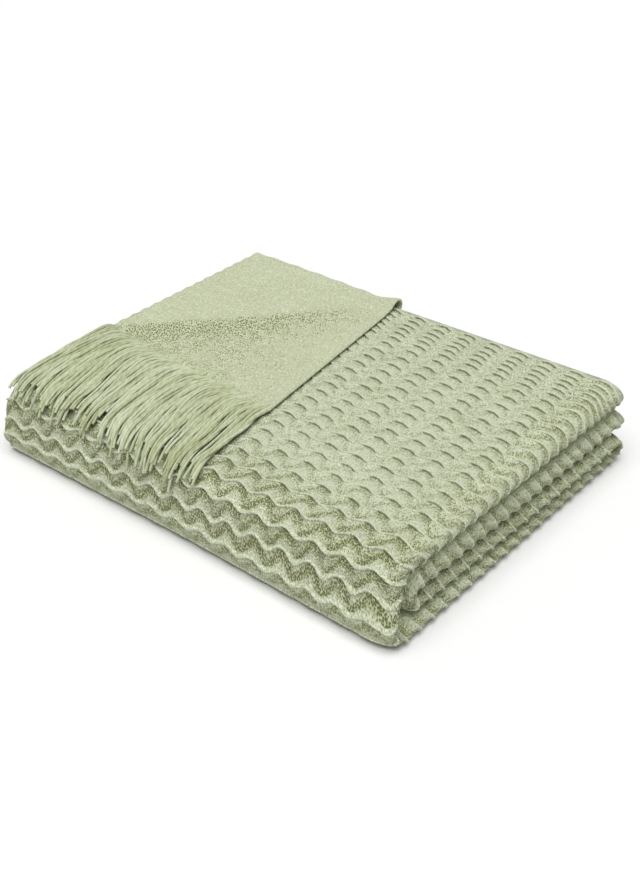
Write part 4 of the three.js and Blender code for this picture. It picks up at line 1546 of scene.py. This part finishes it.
class THROW_OT_knit_cloth(bpy.types.Operator):
    """Make the folded cloth with its wavy ribs, and lay its end over the top"""

    bl_idname = "throw.knit_cloth"
    bl_label = "Knit Cloth"

    def execute(self, context):
        knit = context.scene.throw_cloth
        colours = context.scene.throw_colours
        skin = build_cloth(knit)
        mesh = bpy.data.meshes.new("throw_knit")
        mesh.from_pydata(skin.points, [], skin.triangles)
        mesh.polygons.foreach_set("material_index", skin.sides)
        mesh.polygons.foreach_set("use_smooth", [True] * len(skin.triangles))
        pattern = mesh.uv_layers.new(name="pattern")
        corners = [value for face in skin.triangles for corner in face for value in skin.pattern[corner]]
        pattern.data.foreach_set("uv", corners)
        # rise, open knit and slot values that set the cloth's painted shade and light
        store(mesh, rise=skin.rise, openness=skin.openness, slot=skin.slot)
        ribbed = Stitch(knit.stitch_width, knit.stitch_height, jitter=0.9, hole=0.64, relief=0.0006)
        smooth = Stitch(knit.smooth_width, knit.smooth_height, jitter=0.8, hole=0.42, relief=0.0006)
        mesh.materials.append(knit_material("ribbed_knit", colours, ribbed, RIBBED_TONE))
        mesh.materials.append(knit_material("smooth_knit", colours, smooth, SMOOTH_TONE))
        if mesh.validate():
            raise RuntimeError("the cloth's mesh has faulty faces")
        piece = new_piece("throw_knit", mesh)
        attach(piece, BODY)
        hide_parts("throw_cloth")
        return {"FINISHED"}


CAMERA_SPOT = (0.7017, -0.5145, 0.5574)
CAMERA_NEAR = 0.01
KEY_DIRECTION = (-0.08, 0.18, -1.0)
WHITE = (1.0, 1.0, 1.0, 1.0)


class THROW_OT_stage(bpy.types.Operator):
    """Set up the floor, the soft light and the camera"""

    bl_idname = "throw.stage"
    bl_label = "Stage"

    def execute(self, context):
        scene = context.scene
        stage = scene.throw_stage
        half = stage.floor_size / 2
        mesh = bpy.data.meshes.new("floor")
        corners = [(-half, -half, 0), (half, -half, 0), (half, half, 0), (-half, half, 0)]
        mesh.from_pydata(corners, [], [(0, 1, 2, 3)])
        material, wires, shader = new_material("floor_paper")
        wires.feed_all(shader, {"Base Color": stage.floor_colour, "Roughness": FLOOR_ROUGHNESS})
        mesh.materials.append(material)
        new_piece("floor", mesh)

        world = bpy.data.worlds.new("studio")
        world.use_nodes = True
        sky = world.node_tree.nodes["Background"]
        sky.inputs["Color"].default_value = WHITE
        sky.inputs["Strength"].default_value = stage.sky
        scene.world = world
        light = bpy.data.lights.new("key", "SUN")
        light.energy = stage.key_strength
        light.angle = stage.key_width
        key = new_piece("key", light)
        key.rotation_euler = Vector(KEY_DIRECTION).to_track_quat("-Z", "Y").to_euler()

        camera = bpy.data.cameras.new("camera")
        camera.lens = stage.lens
        camera.clip_start = CAMERA_NEAR
        view = new_piece("camera", camera)
        view.location = in_frame(CAMERA_SPOT)
        view.rotation_euler = (math.pi / 2 - stage.elevation, 0.0, stage.azimuth)
        scene.camera = view
        scene.view_settings.view_transform = "Standard"
        return {"FINISHED"}


class THROW_PT_panel(bpy.types.Panel):
    """Sizes, colours and makers of the throw"""

    bl_idname = "THROW_PT_panel"
    bl_label = "Folded Throw"
    bl_space_type = "VIEW_3D"
    bl_region_type = "UI"
    bl_category = "Throw"

    def draw(self, context):
        groups = [
            ("throw_stage", "throw.stage"),
            ("throw_fringe", "throw.yarn_fringe"),
            ("throw_cloth", "throw.knit_cloth"),
            ("throw_colours", None),
        ]
        for name, operator in groups:
            settings = getattr(context.scene, name)
            box = self.layout.box()
            for prop in settings.__annotations__:
                box.prop(settings, prop)
            if operator:
                box.operator(operator)


SETTINGS = {
    "throw_cloth": ThrowClothSettings,
    "throw_fringe": FringeSettings,
    "throw_colours": ThrowColourSettings,
    "throw_stage": StageSettings,
}
CLASSES = [
    *SETTINGS.values(), THROW_OT_stage, THROW_OT_yarn_fringe, THROW_OT_knit_cloth, THROW_PT_panel,
]


def register():
    for each in CLASSES:
        bpy.utils.register_class(each)
    for name, group in SETTINGS.items():
        setattr(bpy.types.Scene, name, PointerProperty(type=group))


def unregister():
    for name in SETTINGS:
        delattr(bpy.types.Scene, name)
    for each in reversed(CLASSES):
        bpy.utils.unregister_class(each)


def main():
    register()
    bpy.ops.throw.stage()
    bpy.ops.throw.yarn_fringe()
    bpy.ops.throw.knit_cloth()


if __name__ == "__main__":
    main()
